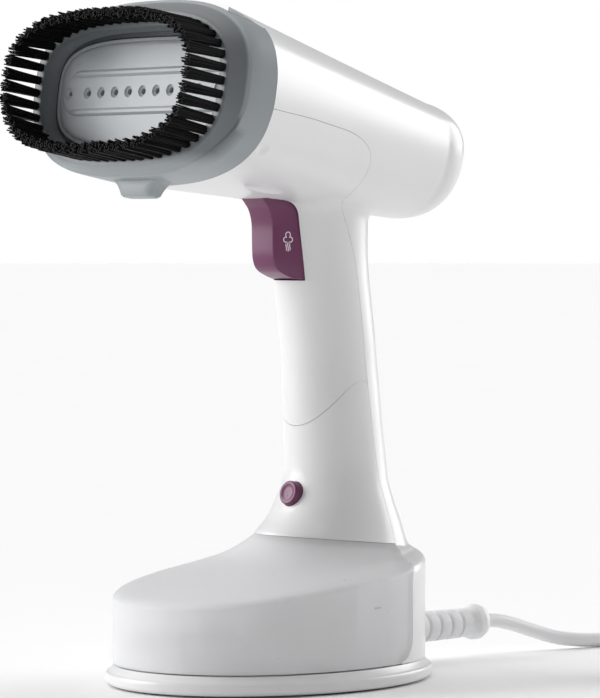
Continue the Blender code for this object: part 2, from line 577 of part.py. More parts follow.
def make_pump():
    """The solenoid water pump, its armature and spring, and the hoses to and from it."""
    at = (0, PUMP_Y, 0)
    turned("pump_body", [(86, 2.6), (92, 2.6), (92, 7.6), (138, 7.6), (138, 5.4), (94, 5.4), (94, 1.3), (86, 1.3)],
           at, (0, 0, 1), PLASTIC_DARK, count=20, closed=True)
    turned("pump_cap", [(138.3, 7.6), (141, 7.6), (141, 2.6), (148, 2.6), (148, 1.3), (138.3, 1.3)],
           at, (0, 0, 1), PLASTIC_DARK, count=20, closed=True)
    turned("pump_coil", [(98, 12.0), (122, 12.0), (122, 7.9), (98, 7.9)], at, (0, 0, 1), COPPER, count=24,
           closed=True)
    turned("pump_mount", [(127, 13.4), (131, 13.4), (131, 7.9), (127, 7.9)], at, (0, 0, 1), RUBBER_GREY,
           count=20, closed=True)
    turned("pump_piston", [(103, 5.05), (125, 5.05)], at, (0, 0, 1), STEEL, count=16)
    tube("pump_spring", helix((0, PUMP_Y, 94.9), 3.8, 1.5, 5), 0.4, STEEL, resolution=1)
    tube("inlet_hose", smooth_path(((0, 48.5, 27), (0, 51.5, 27.2), (-3, 54, 32), (-5, 54.2, 40), (-5, 53.5, 50),
                                    (-3, 51, 60), (-1, 45.5, 69), (0, 39.4, 77), (0, PUMP_Y, 82), (0, PUMP_Y, 85.5)),
                                   22), 2.6, SILICONE)
    tube("outlet_hose", smooth_path(((0, PUMP_Y, 148.5), (0, PUMP_Y - 0.2, 152), (0, 36, 160), (0, 32.5, 180),
                                     (0, 30, 200), (0, 24, 220),
                                     (0, 10, 236), (0, -12, 243.5), (0, -32.2, 247.1)), 24), 2.6, SILICONE)


def button_axis():
    """The power button's outward direction."""
    return (0.0, -cos(radians(BUTTON_TILT)), sin(radians(BUTTON_TILT)))


def make_controls():
    """The power button and its switch, the circuit board, and the leads up to the heater."""
    axis = button_axis()
    button = turned("power_button", [(-9.2, 6.8), (-8.0, 6.8), (-8.0, BUTTON_RADIUS), (-0.9, BUTTON_RADIUS),
                                     (0.0, BUTTON_RADIUS - 0.9)], BUTTON_FACE, axis, PLASTIC_VIOLET, count=24)
    set_origin(button, BUTTON_FACE)
    box("power_switch", (-3.2, 22.8, 72), (3.2, 28.8, 83), PLASTIC_DARK)
    box("control_board", (-9.5, 52.8, 68), (9.5, 54.4, 91), BOARD_GREEN)
    for name, side in (("heater_lead_live", 1), ("heater_lead_neutral", -1)):
        tube(name, smooth_path(((4 * side, 53.4, 91.5), (7 * side, 52.0, 110), (7 * side, 51.0, 140),
                                (6 * side, 46, 175), (6 * side, 42, 205), (9 * side, 26, 228),
                                (20 * side, -2, 243), (30 * side, -20, 250), (38 * side, -30, 249)), 22), 1.0,
             PLASTIC_DARK)


# ---- tank -------------------------------------------------------------------------------------------------
def make_tank():
    """The clear water tank that slides off forwards, with its floor, filler plug, valve and dip filter."""
    lower = list(COLUMN[:SEAM_SECTION + 1])
    lower[0] = (BODY_FLOOR + GAP, *lower[0][1:])
    lower[-1] = (lower[-1][0] - GAP / 2, *lower[-1][1:])
    tank = keep_inside(loft("tank", column_rings(0, lower), TANK_CLEAR), front_region("dock_front", GAP / 2))
    wall = 2.2
    hollow_sections = [(-14.0, *lower[0][1:]), *lower[1:-1], (lower[-1][0] - 1.0, *lower[-1][1:])]
    hollow = keep_inside(loft("water", column_rings(wall, hollow_sections, drop=2.0), TANK_CLEAR),
                         tank_hollow_region("water_front", wall))
    filler_y = 22.0
    cut(hollow, turned("plug_boss", [(50.5, 14.8), (80, 14.8)], (0, filler_y, 0), (0, 0, 1), TANK_CLEAR))
    cut(tank, hollow)
    cut(tank, turned("plug_recess", [(53.6, 12.6), (80, 12.6)], (0, filler_y, 0), (0, 0, 1), TANK_CLEAR))
    cut(tank, turned("filler_hole", [(40, 8.2), (60, 8.2)], (0, filler_y, 0), (0, 0, 1), TANK_CLEAR))
    cut(tank, turned("valve_hole", [(30, 4.5), (40, 4.5)], (0, 0, 27), (0, 1, 0), TANK_CLEAR, count=12))
    named(tank, "tank_shell", TANK_CLEAR)

    half_width, depth = BODY_HALF[0] - wall - GAP, BODY_HALF[1] - wall - GAP
    floor = loft("tank_floor", [level_ring(9.6, 0, half_width, 0, depth, depth),
                                level_ring(12.0, 0, half_width, 0, depth, depth)], TANK_CLEAR)
    cut(floor, box("floor_end", (-90, 25.2, 0), (90, 90, 30), TANK_CLEAR))
    named(floor, "tank_floor", TANK_CLEAR)
    turned("filler_plug", [(44, 7.0), (50.2, 7.9), (53.9, 7.9), (53.9, 12.2), (57.2, 12.2), (58.0, 11.2)],
           (0, filler_y, 0), (0, 0, 1), RUBBER_GREY)
    turned("tank_valve", [(30.6, 6.4), (33.3, 6.4), (33.3, 4.2), (35.5, 4.2)], (0, 0, 27), (0, 1, 0), SILICONE,
           count=16)
    turned("inlet_port", [(36.2, 4.2), (38.5, 4.2), (38.5, 6.4), (40.4, 6.4), (40.4, 2.6), (48.0, 2.6), (48.0, 1.4),
                          (36.2, 1.4)], (0, 0, 27), (0, 1, 0), PLASTIC_DARK, count=16, closed=True)


def tank_hollow_region(name, wall):
    """The space in front of the tank's rear wall and above its rounded lower corner."""
    inner_radius = DOCK_CORNER - wall
    corner_y, corner_z = DOCK_Y - DOCK_CORNER, DOCK_CORNER + 10.0
    arc = [(corner_y + inner_radius * sin(a), corner_z - inner_radius * cos(a)) for a in np.linspace(0, pi / 2, 5)]
    outline = [(-125, -20), (corner_y - 0.1, -20), *arc, (DOCK_Y - wall, 47), (DOCK_Y - wall + 10.5, 57.2),
               (DOCK_Y - wall + 10.5, 70), (-125, 90)]
    return extrude(name, outline, "X", -95, 95, TANK_CLEAR)


# ---- base -------------------------------------------------------------------------------------------------
def make_base():
    """The base flange, its bottom cover, feet and screws."""
    wide, deep = BASE_HALF
    rings = [level_ring(5.6, 0, wide - 5, 0, deep - 5, deep - 5, 2.0),
             level_ring(0.8, 0, wide - 5, 0, deep - 5, deep - 5, 2.0),
             level_ring(0.8, 0, wide - 1.4, 0, deep - 1.4, deep - 1.4, 2.0),
             level_ring(1.9, 0, wide, 0, deep, deep, 2.0), level_ring(5.0, 0, wide, 0, deep, deep, 2.0),
             level_ring(7.6, 0, wide - 2.6, 0, deep - 2.6, deep - 2.6, 2.0),
             level_ring(BODY_FLOOR - GAP, 0, wide - 3.5, 0, deep - 3.5, deep - 3.5, 2.0)]
    base = loft("base_plate", rings, PLASTIC_WHITE)
    for number, side in ((1, -1), (2, 1)):
        at = (side * BOSS_AT[0], BOSS_AT[1], 0)
        cut(base, turned("screw_space", [(0, 1.9), (20, 1.9)], at, (0, 0, 1), PLASTIC_WHITE, count=8))
        turned(f"base_screw_{number}", [(3.8, 3.0), (5.3, 3.0), (5.3, 1.5), (20, 1.5)], at, (0, 0, 1), STEEL,
               count=10)
    named(base, "base_plate", PLASTIC_WHITE)
    loft("bottom_cover", [level_ring(z, 0, wide - 5.4, 0, deep - 5.4, deep - 5.4, 2.0) for z in (1.5, 3.3)],
         PLASTIC_WHITE)
    for number, (x, y) in enumerate(((-34, -40), (34, -40), (34, 40), (-34, 40)), start=1):
        turned(f"foot_{number}", [(0, 6.4), (0.5, 7.0), (1.2, 7.0)], (x, y, 0), (0, 0, 1), RUBBER_GREY, count=16)


# ---- mains cord -------------------------------------------------------------------------------------------
def make_cord():
    """Strain relief, mains lead inside the spine, the free cord, its coil and tie, and the plug."""
    sleeve = [(66.0, 6.6), (74.6, 6.6), (75.0, 7.0)]
    ribs = 5
    for k in range(ribs):
        start, radius = 77.0 + 8.6 * k, 7.0 - 0.12 * k
        sleeve += [(start, radius), (start + 1.6, radius - 1.2), (start + 3.2, radius - 0.2)]
    sleeve += [(119.0, 6.5), (122.0, 8.1), (127.0, 8.1), (129.4, 6.6), (129.4, 3.5), (66.0, 3.5)]
    relief = turned("strain_relief", sleeve, (0, 0, CORD_Z - 0.3), (0, 1, 0), RUBBER_WHITE, count=20, closed=True)
    key = box("key", (-11, 66.0, 9.7), (11, 68.6, 23.0), RUBBER_WHITE)
    cut(key, turned("key_bore", [(60, 4.5), (80, 4.5)], (0, 0, CORD_Z - 0.3), (0, 1, 0), RUBBER_WHITE, count=20))
    join(relief, key)
    named(relief, "strain_relief", RUBBER_WHITE)
    box("terminal_block", (1, 57, 33), (17, 66.4, 45), PLASTIC_DARK)
    box("cable_clamp", (-12, 58, 19.2), (12, 63, 22.4), PLASTIC_DARK)
    tube("mains_lead", smooth_path(((0, 65.6, 16.2), (0, 60, 16.2), (3, 53, 17), (9, 49, 21), (12, 48, 28),
                                    (12, 49.5, 35), (11, 53, 39), (11, 56.4, 39.5)), 14), 2.6, RUBBER_WHITE)

    tube("power_cord", smooth_path(CORD_ROUTE, 14), CORD_RADIUS, RUBBER_WHITE)
    low, high = COIL_HEIGHTS
    near, far = COIL_RADII
    turned("cord_coil", [(low, far), (high, far), (high, near), (low, near)], (*COIL_CENTRE, 0), (0, 0, 1),
           RUBBER_WHITE, count=40, closed=True)
    tie = [(near - 2.0, low - 1.0), (far + 1.2, low - 1.0), (far + 1.2, high + 1.0), (near - 2.0, high + 1.0)]
    inside = [(near - 1.2, low - 0.4), (far + 0.4, low - 0.4), (far + 0.4, high + 0.4), (near - 1.2, high + 0.4)]
    strap = extrude("cord_tie", [(COIL_CENTRE[1] + r, z) for r, z in tie], "X", COIL_CENTRE[0] - 6,
                    COIL_CENTRE[0] + 6, PLASTIC_DARK)
    cut(strap, extrude("tie_space", [(COIL_CENTRE[1] + r, z) for r, z in inside], "X", COIL_CENTRE[0] - 9,
                       COIL_CENTRE[0] + 9, PLASTIC_DARK))
    named(strap, "cord_tie", PLASTIC_DARK)
    tube("cord_tail", TAIL_ROUTE, CORD_RADIUS, RUBBER_WHITE)
    plug = [(0, 5.0), (20, 7.4), (24, 12.5), (30, 17.4), (35, 18.0), (51, 18.0), (52, 17.2)]
    turned("plug_body", plug, PLUG_AT, (0, -1, 0), RUBBER_WHITE, count=24)
    for number, side in ((1, -1), (2, 1)):
        x, y, z = PLUG_AT
        turned(f"plug_pin_{number}", [(52.3, 2.4), (70.2, 2.4), (71.2, 1.6)], (x + side * 9.5, y, z), (0, -1, 0),
               STEEL, count=12)


def main():
    """Builds the whole steamer."""
    global head_axis
    clear_scene()
    head_axis = bpy.data.objects.new("head_axis", None)
    head_axis.location = Vector(HEAD_FRONT) * MM
    head_axis.rotation_euler = (-radians(HEAD_TILT), 0, 0)
    bpy.context.scene.collection.objects.link(head_axis)
    make_casings()
    make_brush()
    make_steam_head()
    make_trigger()
    make_pump()
    make_controls()
    make_tank()
    make_base()
    make_cord()


main()
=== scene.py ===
"""The looks of a hand-held garment steamer on its round tank base: smooth casings with real parting gaps, a
frosted tank, a grey brush frame with its plate and bristles, a violet trigger, and a white cord in a coil.

Lengths in the shape functions are in millimetres. The steamer stands on Z = 0 and faces -Y."""

import json
from math import cos, pi, radians, sin, sqrt

import bmesh
import bpy
import numpy as np
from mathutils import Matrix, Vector


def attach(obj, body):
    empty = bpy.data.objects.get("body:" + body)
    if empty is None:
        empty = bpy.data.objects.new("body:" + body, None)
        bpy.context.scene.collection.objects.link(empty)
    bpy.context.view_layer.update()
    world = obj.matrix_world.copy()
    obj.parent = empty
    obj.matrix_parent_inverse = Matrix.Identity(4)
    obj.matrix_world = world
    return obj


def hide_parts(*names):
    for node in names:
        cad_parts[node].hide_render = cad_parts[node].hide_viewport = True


bl_info = {
    "name": "Garment Steamer",
    "version": (1, 0, 0),
    "blender": (4, 5, 0),
    "location": "3D View > Sidebar > Steamer",
    "description": "Makes the casings, tank, brush, cord and finishes of a hand-held garment steamer",
    "category": "Add Mesh",
}

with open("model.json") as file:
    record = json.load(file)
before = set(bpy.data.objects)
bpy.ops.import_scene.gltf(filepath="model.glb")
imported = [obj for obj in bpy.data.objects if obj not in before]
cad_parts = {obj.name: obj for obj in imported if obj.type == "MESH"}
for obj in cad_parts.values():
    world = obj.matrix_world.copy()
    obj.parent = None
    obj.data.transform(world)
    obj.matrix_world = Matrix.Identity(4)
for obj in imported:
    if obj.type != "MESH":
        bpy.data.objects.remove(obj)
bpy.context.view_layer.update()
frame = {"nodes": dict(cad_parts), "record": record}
MM = 0.001

# Column sections: height at Y = 0, rise per Y, half width, centre, front depth, rear depth
COLUMN = (
    (-6.0, 0.0, 58.0, 0.0, 73.0, 73.0),
    (9.2, 0.0, 58.0, 0.0, 73.0, 73.0),
    (43.5, 0.115, 58.0, 0.0, 73.0, 73.0),
    (45.6, 0.115, 56.8, 0.0, 71.8, 72.6),
    (46.8, 0.115, 54.0, 0.0, 69.0, 72.0),
    (48.0, 0.110, 49.5, 2.0, 60.0, 69.8),
    (50.3, 0.075, 43.0, 14.0, 44.0, 57.6),
    (53.4, 0.040, 38.5, 26.0, 40.5, 45.5),
    (58.0, -0.030, 34.0, 34.0, 39.5, 37.3),
    (62.5, -0.095, 30.5, 40.0, 40.5, 31.0),
    (69.5, -0.060, 27.5, 40.0, 33.5, 28.0),
    (77.0, -0.020, 25.0, 39.5, 28.0, 24.5),
    (87.0, 0.0, 22.0, 39.5, 24.0, 22.0),
    (97.0, 0.0, 21.0, 38.5, 23.0, 22.5),
    (117.0, 0.0, 20.0, 36.5, 22.5, 22.5),
    (142.0, 0.0, 19.0, 34.5, 22.0, 22.0),
    (175.0, 0.0, 19.0, 30.0, 22.0, 22.0),
    (200.0, 0.0, 19.5, 27.5, 23.0, 24.0),
    (222.0, 0.0, 20.0, 26.0, 24.0, 26.0),
)
SEAM_ROW = 9

# Side view of the parting line between the rear casing and the pieces in front of it: Y and Z
PARTING = (
    (25.8, 8.0), (25.8, 10.0), (29.6, 10.8), (32.9, 12.9), (35.1, 16.2), (35.8, 20.0), (35.8, 47.5),
    (46.9, 58.3), (46.9, 63.0), (36.4, 158.0), (33.5, 178.0), (29.5, 190.0), (26.5, 198.0), (22.5, 206.0),
    (20.3, 212.0),
    (19.8, 218.0), (18.6, 223.5), (15.4, 228.6), (8.2, 232.8), (-1.5, 235.9), (-31.4, 240.6), (-59.4, 243.8),
)

# The cord's route from its sleeve to the coil, then the tail from the coil to the plug, in metres
CORD_ROUTE = (
    (0.0, 0.1299, 0.0162), (0.0, 0.1400, 0.0157), (0.0006, 0.1510, 0.0132), (0.0020, 0.1630, 0.0094),
    (0.0044, 0.1760, 0.0056), (0.0080, 0.1900, 0.0037), (0.0116, 0.2030, 0.0033), (0.0152, 0.2120, 0.0033),
    (0.0173, 0.2175, 0.0034),
)
COIL_CENTRE = (0.0660, 0.2360)
TAIL_ROUTE = (
    (0.1136, 0.2150, 0.0156), (0.1136, 0.2090, 0.0168), (0.1136, 0.2030, 0.0176), (0.1136, 0.1973, 0.0180),
)
PLUG_AT = (0.1136, 0.1970, 0.0180)

# Exponents of the column's plan and of the rounded end of the head; where that end starts, and its length
COLUMN_POWER = 2.1
DOME_POWER = 2.2
DOME_START = 154.0
DOME_LENGTH = 24.0
FOOT_WIDTH, FOOT_DEPTH = 58.0, 73.0    # half sizes of the tank's foot
REACH = 95                             # further than any casing reaches to a side

SLEEVE_LEVEL = 16.2                    # height of the sleeve's axis
VALVE_LEVEL = 27                       # height of the tank valve's axis
BUTTON_AT = (0.0, 10.2, 80.6)
BUTTON_AXIS = (0.0, -cos(radians(15)), sin(radians(15)))

# The bristle seat's depth; half width, top, bottom and exponent of the line of tufts; then the plate's holes
SEAT = -6.0
TUFT_LINE = (59.0, 27.8, 30.9, 2.8)
HOLE_PITCH = 8.88
END_HOLE = 47.7
HOLE_LEVEL = -1.2
RIDGE_LEVEL = 8.3                      # the ridges' height above and below the row of holes

CAMERA_TARGET = (0, 0.0175, 0.1427)
CAMERA_BACK = 1.652


# ---- what a user may change -------------------------------------------------------------------------------
def length(name, description, default):
    """A length setting."""
    return bpy.props.FloatProperty(name=name, description=description, default=default, unit="LENGTH")


def colour_of(name, description, default):
    """A colour setting."""
    return bpy.props.FloatVectorProperty(name=name, description=description, subtype="COLOR",
                                         default=default, min=0, max=1)


class SteamerSizes(bpy.types.PropertyGroup):
    """Sizes of the steamer's visible pieces."""

    head_tilt: bpy.props.FloatProperty(name="Head tilt", description="How far the head's front is raised",
                                       default=radians(9.0), subtype="ANGLE")
    head_front: bpy.props.FloatVectorProperty(
        name="Head front", description="Middle of the brush frame's front", default=(0.0, -0.0745, 0.254),
        subtype="TRANSLATION", unit="LENGTH")
    wall: length("Wall", "Thickness of the casings", 0.0024)
    gap: length("Parting gap", "Gap between neighbouring casings", 0.00018)
    fillet: length("Neck fillet", "Reach of the fillet between grip and head", 0.006)
    grain: length("Casing mesh", "Step of the casing's mesh", 0.0015)
    tufts: bpy.props.IntProperty(name="Tufts", description="Number of bristle tufts", default=54,
                                 min=20, max=90)
    tuft_length: length("Tuft length", "Free length of the bristles", 0.0198)
    cord_width: length("Cord diameter", "Outside diameter of the mains cord", 0.0064)


class SteamerColours(bpy.types.PropertyGroup):
    """Colours of the steamer's finishes."""

    casing: colour_of("Casing", "Glossy white casings", (0.735, 0.735, 0.74))
    brush: colour_of("Brush frame", "Blue-grey brush frame", (0.29, 0.315, 0.33))
    plate: colour_of("Plate", "Light grey steam plate", (0.40, 0.425, 0.44))
    bristle: colour_of("Bristles", "Black bristles", (0.004, 0.004, 0.004))
    violet: colour_of("Controls", "Trigger and power button", (0.135, 0.022, 0.085))
    tank: colour_of("Tank", "Frosted clear tank", (0.95, 0.95, 0.96))
    cord: colour_of("Cord", "White cord sheath", (0.78, 0.78, 0.79))


def sizes():
    """The sizes that the user has set."""
    return bpy.context.scene.steamer_sizes


def colours():
    """The colours that the user has set."""
    return bpy.context.scene.steamer_colours


# ---- surfaces ---------------------------------------------------------------------------------------------
def quads(rows, columns, rows_close=False, columns_close=True):
    """Faces of a grid: corners (r, c), (r, c+1), (r+1, c+1), (r+1, c), taken round where it closes."""
    r = np.arange(rows if rows_close else rows - 1)[:, None]
    c = np.arange(columns if columns_close else columns - 1)[None, :]
    r2, c2 = (r + 1) % rows, (c + 1) % columns
    corners = [r * columns + c, r * columns + c2, r2 * columns + c2, r2 * columns + c]
    return np.stack(corners, -1).reshape(-1, 4)


def skin(rings, rows_close=False):
    """Points and faces of a solid through rings of points. Open ends are closed with one flat face each."""
    rings = np.asarray(rings, float)
    rows, columns = rings.shape[:2]
    faces = quads(rows, columns, rows_close).tolist()
    if not rows_close:
        faces += [list(range(columns)), list(range((rows - 1) * columns, rows * columns))]
    return rings.reshape(-1, 3), faces


def make_object(name, points, faces, material=None, sharp=35):
    """A mesh object at the origin from points in millimetres, with its faces turned outwards."""
    mesh = bpy.data.meshes.new(name)
    mesh.from_pydata((np.asarray(points, float) * MM).tolist(), [], [list(f) for f in faces])
    shape = bmesh.new()
    shape.from_mesh(mesh)
    bmesh.ops.recalc_face_normals(shape, faces=shape.faces)
    shape.to_mesh(mesh)
    shape.free()
    made = bpy.data.objects.new(name, mesh)
    bpy.context.scene.collection.objects.link(made)
    if material is not None:
        mesh.materials.append(material)
    soften(made, sharp)
    return made


def soften(made, sharp=35):
    """Smooth shading with sharp edges above an angle in degrees."""
    made.data.shade_smooth()
    made.data.set_sharp_from_angle(angle=radians(sharp))


def evaluated(made):
    """Puts a piece's modifiers into its mesh."""
    graph = bpy.context.evaluated_depsgraph_get()
    graph.update()
    mesh = bpy.data.meshes.new_from_object(made.evaluated_get(graph))
    made.modifiers.clear()
    old, made.data = made.data, mesh
    bpy.data.meshes.remove(old)
    return made


def combine(target, tool, operation):
    """Applies a Boolean and removes the tool."""
    step = target.modifiers.new("combine", "BOOLEAN")
    step.operation, step.object, step.solver = operation, tool, "MANIFOLD"
    evaluated(target)
    bpy.data.objects.remove(tool, do_unlink=True)
    return target


def points_of(made):
    """A mesh's points, in millimetres."""
    points = np.empty(len(made.data.vertices) * 3)
    made.data.vertices.foreach_get("co", points)
    return points.reshape(-1, 3) / MM


def move_points(made, change):
    """Puts a mesh's points where change(points) says, in millimetres."""
    points = change(points_of(made))
    made.data.vertices.foreach_set("co", (points * MM).ravel())
    made.data.update()


def cut(target, tool):
    """Takes a solid away."""
    return combine(target, tool, "DIFFERENCE")


def keep(target, tool):
    """Keeps what lies in a solid."""
    return combine(target, tool, "INTERSECT")


def twin(made, name):
    """A copy with its own mesh."""
    other = made.copy()
    other.data, other.name = made.data.copy(), name
    bpy.context.scene.collection.objects.link(other)
    return other


def settle(made, body, nodes=(), material=None):
    """Gives a piece its material, its body and the CAD nodes that it stands for."""
    if material is not None:
        made.data.materials.clear()
        made.data.materials.append(material)
    made.data.name = made.name
    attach(made, body)
    if nodes:
        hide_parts(*nodes)
    return made


def prism(outline, axis, low, high):
    """A straight solid of an outline along X (outline in Y, Z), Y (in X, Z) or Z (in X, Y)."""
    a, b = np.asarray(outline, float).T
    order = {"X": (2, 0, 1), "Y": (0, 2, 1), "Z": (0, 1, 2)}[axis]
    rings = [np.column_stack([a, b, np.full(len(a), c)])[:, order] for c in (low, high)]
    return make_object("tool", *skin(rings))


def block(low, high):
    """A straight block between two corners."""
    corners = [(low[0], low[1]), (high[0], low[1]), (high[0], high[1]), (low[0], high[1])]
    return prism(corners, "Z", low[2], high[2])


def turned(profile, at, direction, count=48, closes=False, squash=(1.0, 1.0)):
    """Rings of a turned solid: at + a axis + r (side cos t + other sin t) for the profile's (a, r)."""
    axis = np.asarray(direction, float) / np.linalg.norm(direction)
    side = np.cross(axis, (0, 0, 1.0) if abs(axis[2]) < 0.9 else (1.0, 0, 0))
    side /= np.linalg.norm(side)
    other = np.cross(axis, side)
    t = np.linspace(0, 2 * pi, count, endpoint=False)[None, :, None]
    a, r = np.asarray(profile, float).T[:, :, None, None]
    round_it = squash[0] * np.cos(t) * side + squash[1] * np.sin(t) * other
    return skin(np.asarray(at, float) + a * axis + r * round_it, closes)


def drill(target, start, end, radius, at, direction, count=48):
    """Takes a straight round hole away, from start to end along a direction through a point."""
    return cut(target, make_object("drill", *turned([(start, radius), (end, radius)], at, direction, count)))


def rounded(profile, radius, steps=5):
    """A profile with rounded corners: each corner P becomes the curve (1-t)^2 A + 2t(1-t) P + t^2 B."""
    p = np.asarray(profile, float)
    out = [p[:1]]
    t = np.linspace(0, 1, steps)[:, None]
    for a, b, c in zip(p[:-2], p[1:-1], p[2:]):
        la, lc = np.linalg.norm(a - b), np.linalg.norm(c - b)
        ra = min(radius, 0.45 * la) / max(la, 1e-9)
        rc = min(radius, 0.45 * lc) / max(lc, 1e-9)
        start, end = b + (a - b) * ra, b + (c - b) * rc
        out.append((1 - t) ** 2 * start + 2 * t * (1 - t) * b + t**2 * end)
    out.append(p[-1:])
    return np.vstack(out)


def fill_table(table, steps):
    """Rows between a table's rows, by cubics whose slopes are the harmonic mean of the steps beside them."""
    table = np.asarray(table, float)
    step = np.diff(table, axis=0)
    a, b = step[:-1], step[1:]
    total = np.where(a + b == 0, 1, a + b)
    slope = np.vstack([step[:1], np.where(a * b > 0, 2 * a * b / total, 0), step[-1:]])
    t = np.linspace(0, 1, steps, endpoint=False)[None, :, None]
    p, q, m, n = table[:-1, None], table[1:, None], slope[:-1, None], slope[1:, None]
    rows = ((2 * t**3 - 3 * t**2 + 1) * p + (t**3 - 2 * t**2 + t) * m
            + (3 * t**2 - 2 * t**3) * q + (t**3 - t**2) * n)
    return np.vstack([rows.reshape(-1, table.shape[1]), table[-1:]])


def oval(turn, half_width, top, bottom, exponent):
    """x = w |cos t|^(2/n), z = h |sin t|^(2/n) with their signs; h differs above and below."""
    c, s = np.cos(turn), np.sin(turn)
    x = np.sign(c) * np.abs(c) ** (2 / exponent) * half_width
    return x, np.sign(s) * np.abs(s) ** (2 / exponent) * np.where(s > 0, top, bottom)


def from_head(points):
    """From the head's axes (x, s rearwards, v up): H + x X + s (0, cos a, -sin a) + v (0, sin a, cos a)."""
    x, s, v = np.moveaxis(np.asarray(points, float), -1, 0)
    a = sizes().head_tilt
    h = np.array(sizes().head_front) / MM
    return np.stack([h[0] + x, h[1] + s * cos(a) + v * sin(a), h[2] - s * sin(a) + v * cos(a)], -1)


def to_head(points):
    """The inverse of from_head."""
    h = np.array(sizes().head_front) / MM
    x, y, z = np.moveaxis(np.asarray(points, float) - h, -1, 0)
    a = sizes().head_tilt
    return np.stack([x, y * cos(a) - z * sin(a), y * sin(a) + z * cos(a)], -1)


def head_size(depth):
    """Half width, top, bottom and exponent of the head's straight taper at a depth."""
    share = np.clip((depth - 16.0) / (DOME_START - 16.0), -0.3, 1.0)
    return (67.5 - 36.0 * share, 38.0 - 15.7 * share, 39.0 - 8.6 * share, 2.45 - 0.2 * np.maximum(share, 0))


def head_rings(depths, shrink=0.0, count=96):
    """Rings of the head at depths; past the dome's start they close as (1 - u^2.2)^(1/2.2)."""
    turn = np.linspace(0, 2 * pi, count, endpoint=False)
    rings = []
    for depth in depths:
        w, top, bottom, n = head_size(depth)
        u = min(max((depth - DOME_START) / (DOME_LENGTH - shrink), 0.0), 0.9985)
        k = (1 - u**DOME_POWER) ** (1 / DOME_POWER)
        x, z = oval(turn, (w - shrink) * k, (top - shrink) * k, (bottom - shrink) * k, n)
        rings.append(from_head(np.column_stack([x, np.full(count, depth), z])))
    return rings


def column_rings(table, shrink=0.0, drop=0.0, count=128):
    """Rings of the column; each lies on z = height + slope y and is a superellipse in plan."""
    turn = np.linspace(0, 2 * pi, count, endpoint=False)
    rings = []
    for height, slope, w, centre, front, rear in table:
        x, y = oval(turn, w - shrink, rear - shrink, front - shrink, COLUMN_POWER)
        y = y + centre
        z = height - (drop if 44 < height < 63 else 0.0) + slope * y
        rings.append(np.column_stack([x, y, z]))
    return rings


def head_field(points):
    """About the distance to the head's skin: ((R^2.2 + u^2.2)^(1/2.2) - 1) h, R the section's own radius."""
    x, s, v = to_head(points).T
    w, top, bottom, n = head_size(np.minimum(s, DOME_START))
    h = np.where(v > 0, top, bottom)
    section = ((np.abs(x) / w) ** n + (np.abs(v) / h) ** n) ** (1 / n)
    u = np.maximum(s - DOME_START, 0) / DOME_LENGTH
    return ((section**DOME_POWER + u**DOME_POWER) ** (1 / DOME_POWER) - 1) * np.minimum(w, h)


def column_field(points, table):
    """About the distance to the column's skin, from the table's section at the point's own height."""
    x, y, z = points.T
    above = table[None, :, 0] + table[None, :, 1] * y[:, None] - z[:, None]
    row = np.clip((above < 0).sum(1), 1, len(table) - 1)
    at = np.arange(len(points))
    low, high = above[at, row - 1], above[at, row]
    t = np.clip(-low / np.where(high == low, 1, high - low), 0, 1)[:, None]
    section = table[row - 1] * (1 - t) + table[row] * t
    _, _, w, centre, front, rear = section.T
    depth = np.where(y > centre, rear, front)
    n = COLUMN_POWER
    radius = ((np.abs(x) / w) ** n + (np.abs(y - centre) / depth) ** n) ** (1 / n)
    return np.maximum((radius - 1) * np.minimum(w, depth), z - 232.0)


def body_field(points, table, reach):
    """The smooth minimum of head and column: f = b + (a - b) h - k h (1 - h), h = 1/2 + (b - a) / 2k."""
    a, b = head_field(points), column_field(points, table)
    h = np.clip(0.5 + 0.5 * (b - a) / reach, 0, 1)
    return b + (a - b) * h - reach * h * (1 - h)


def draw_to_skin(points, field, rounds=3):
    """Moves points near a surface on to it: p -= f grad f / |grad f|^2, a few times."""
    points = points.copy()
    near = np.abs(field(points)) < 3.5
    for _ in range(rounds):
        p = points[near]
        f = field(p)
        slope = np.stack([(field(p + step) - f) / 0.02 for step in 0.02 * np.eye(3)], -1)
        points[near] = p - slope * (f / np.maximum((slope**2).sum(1), 0.05))[:, None]
    return points


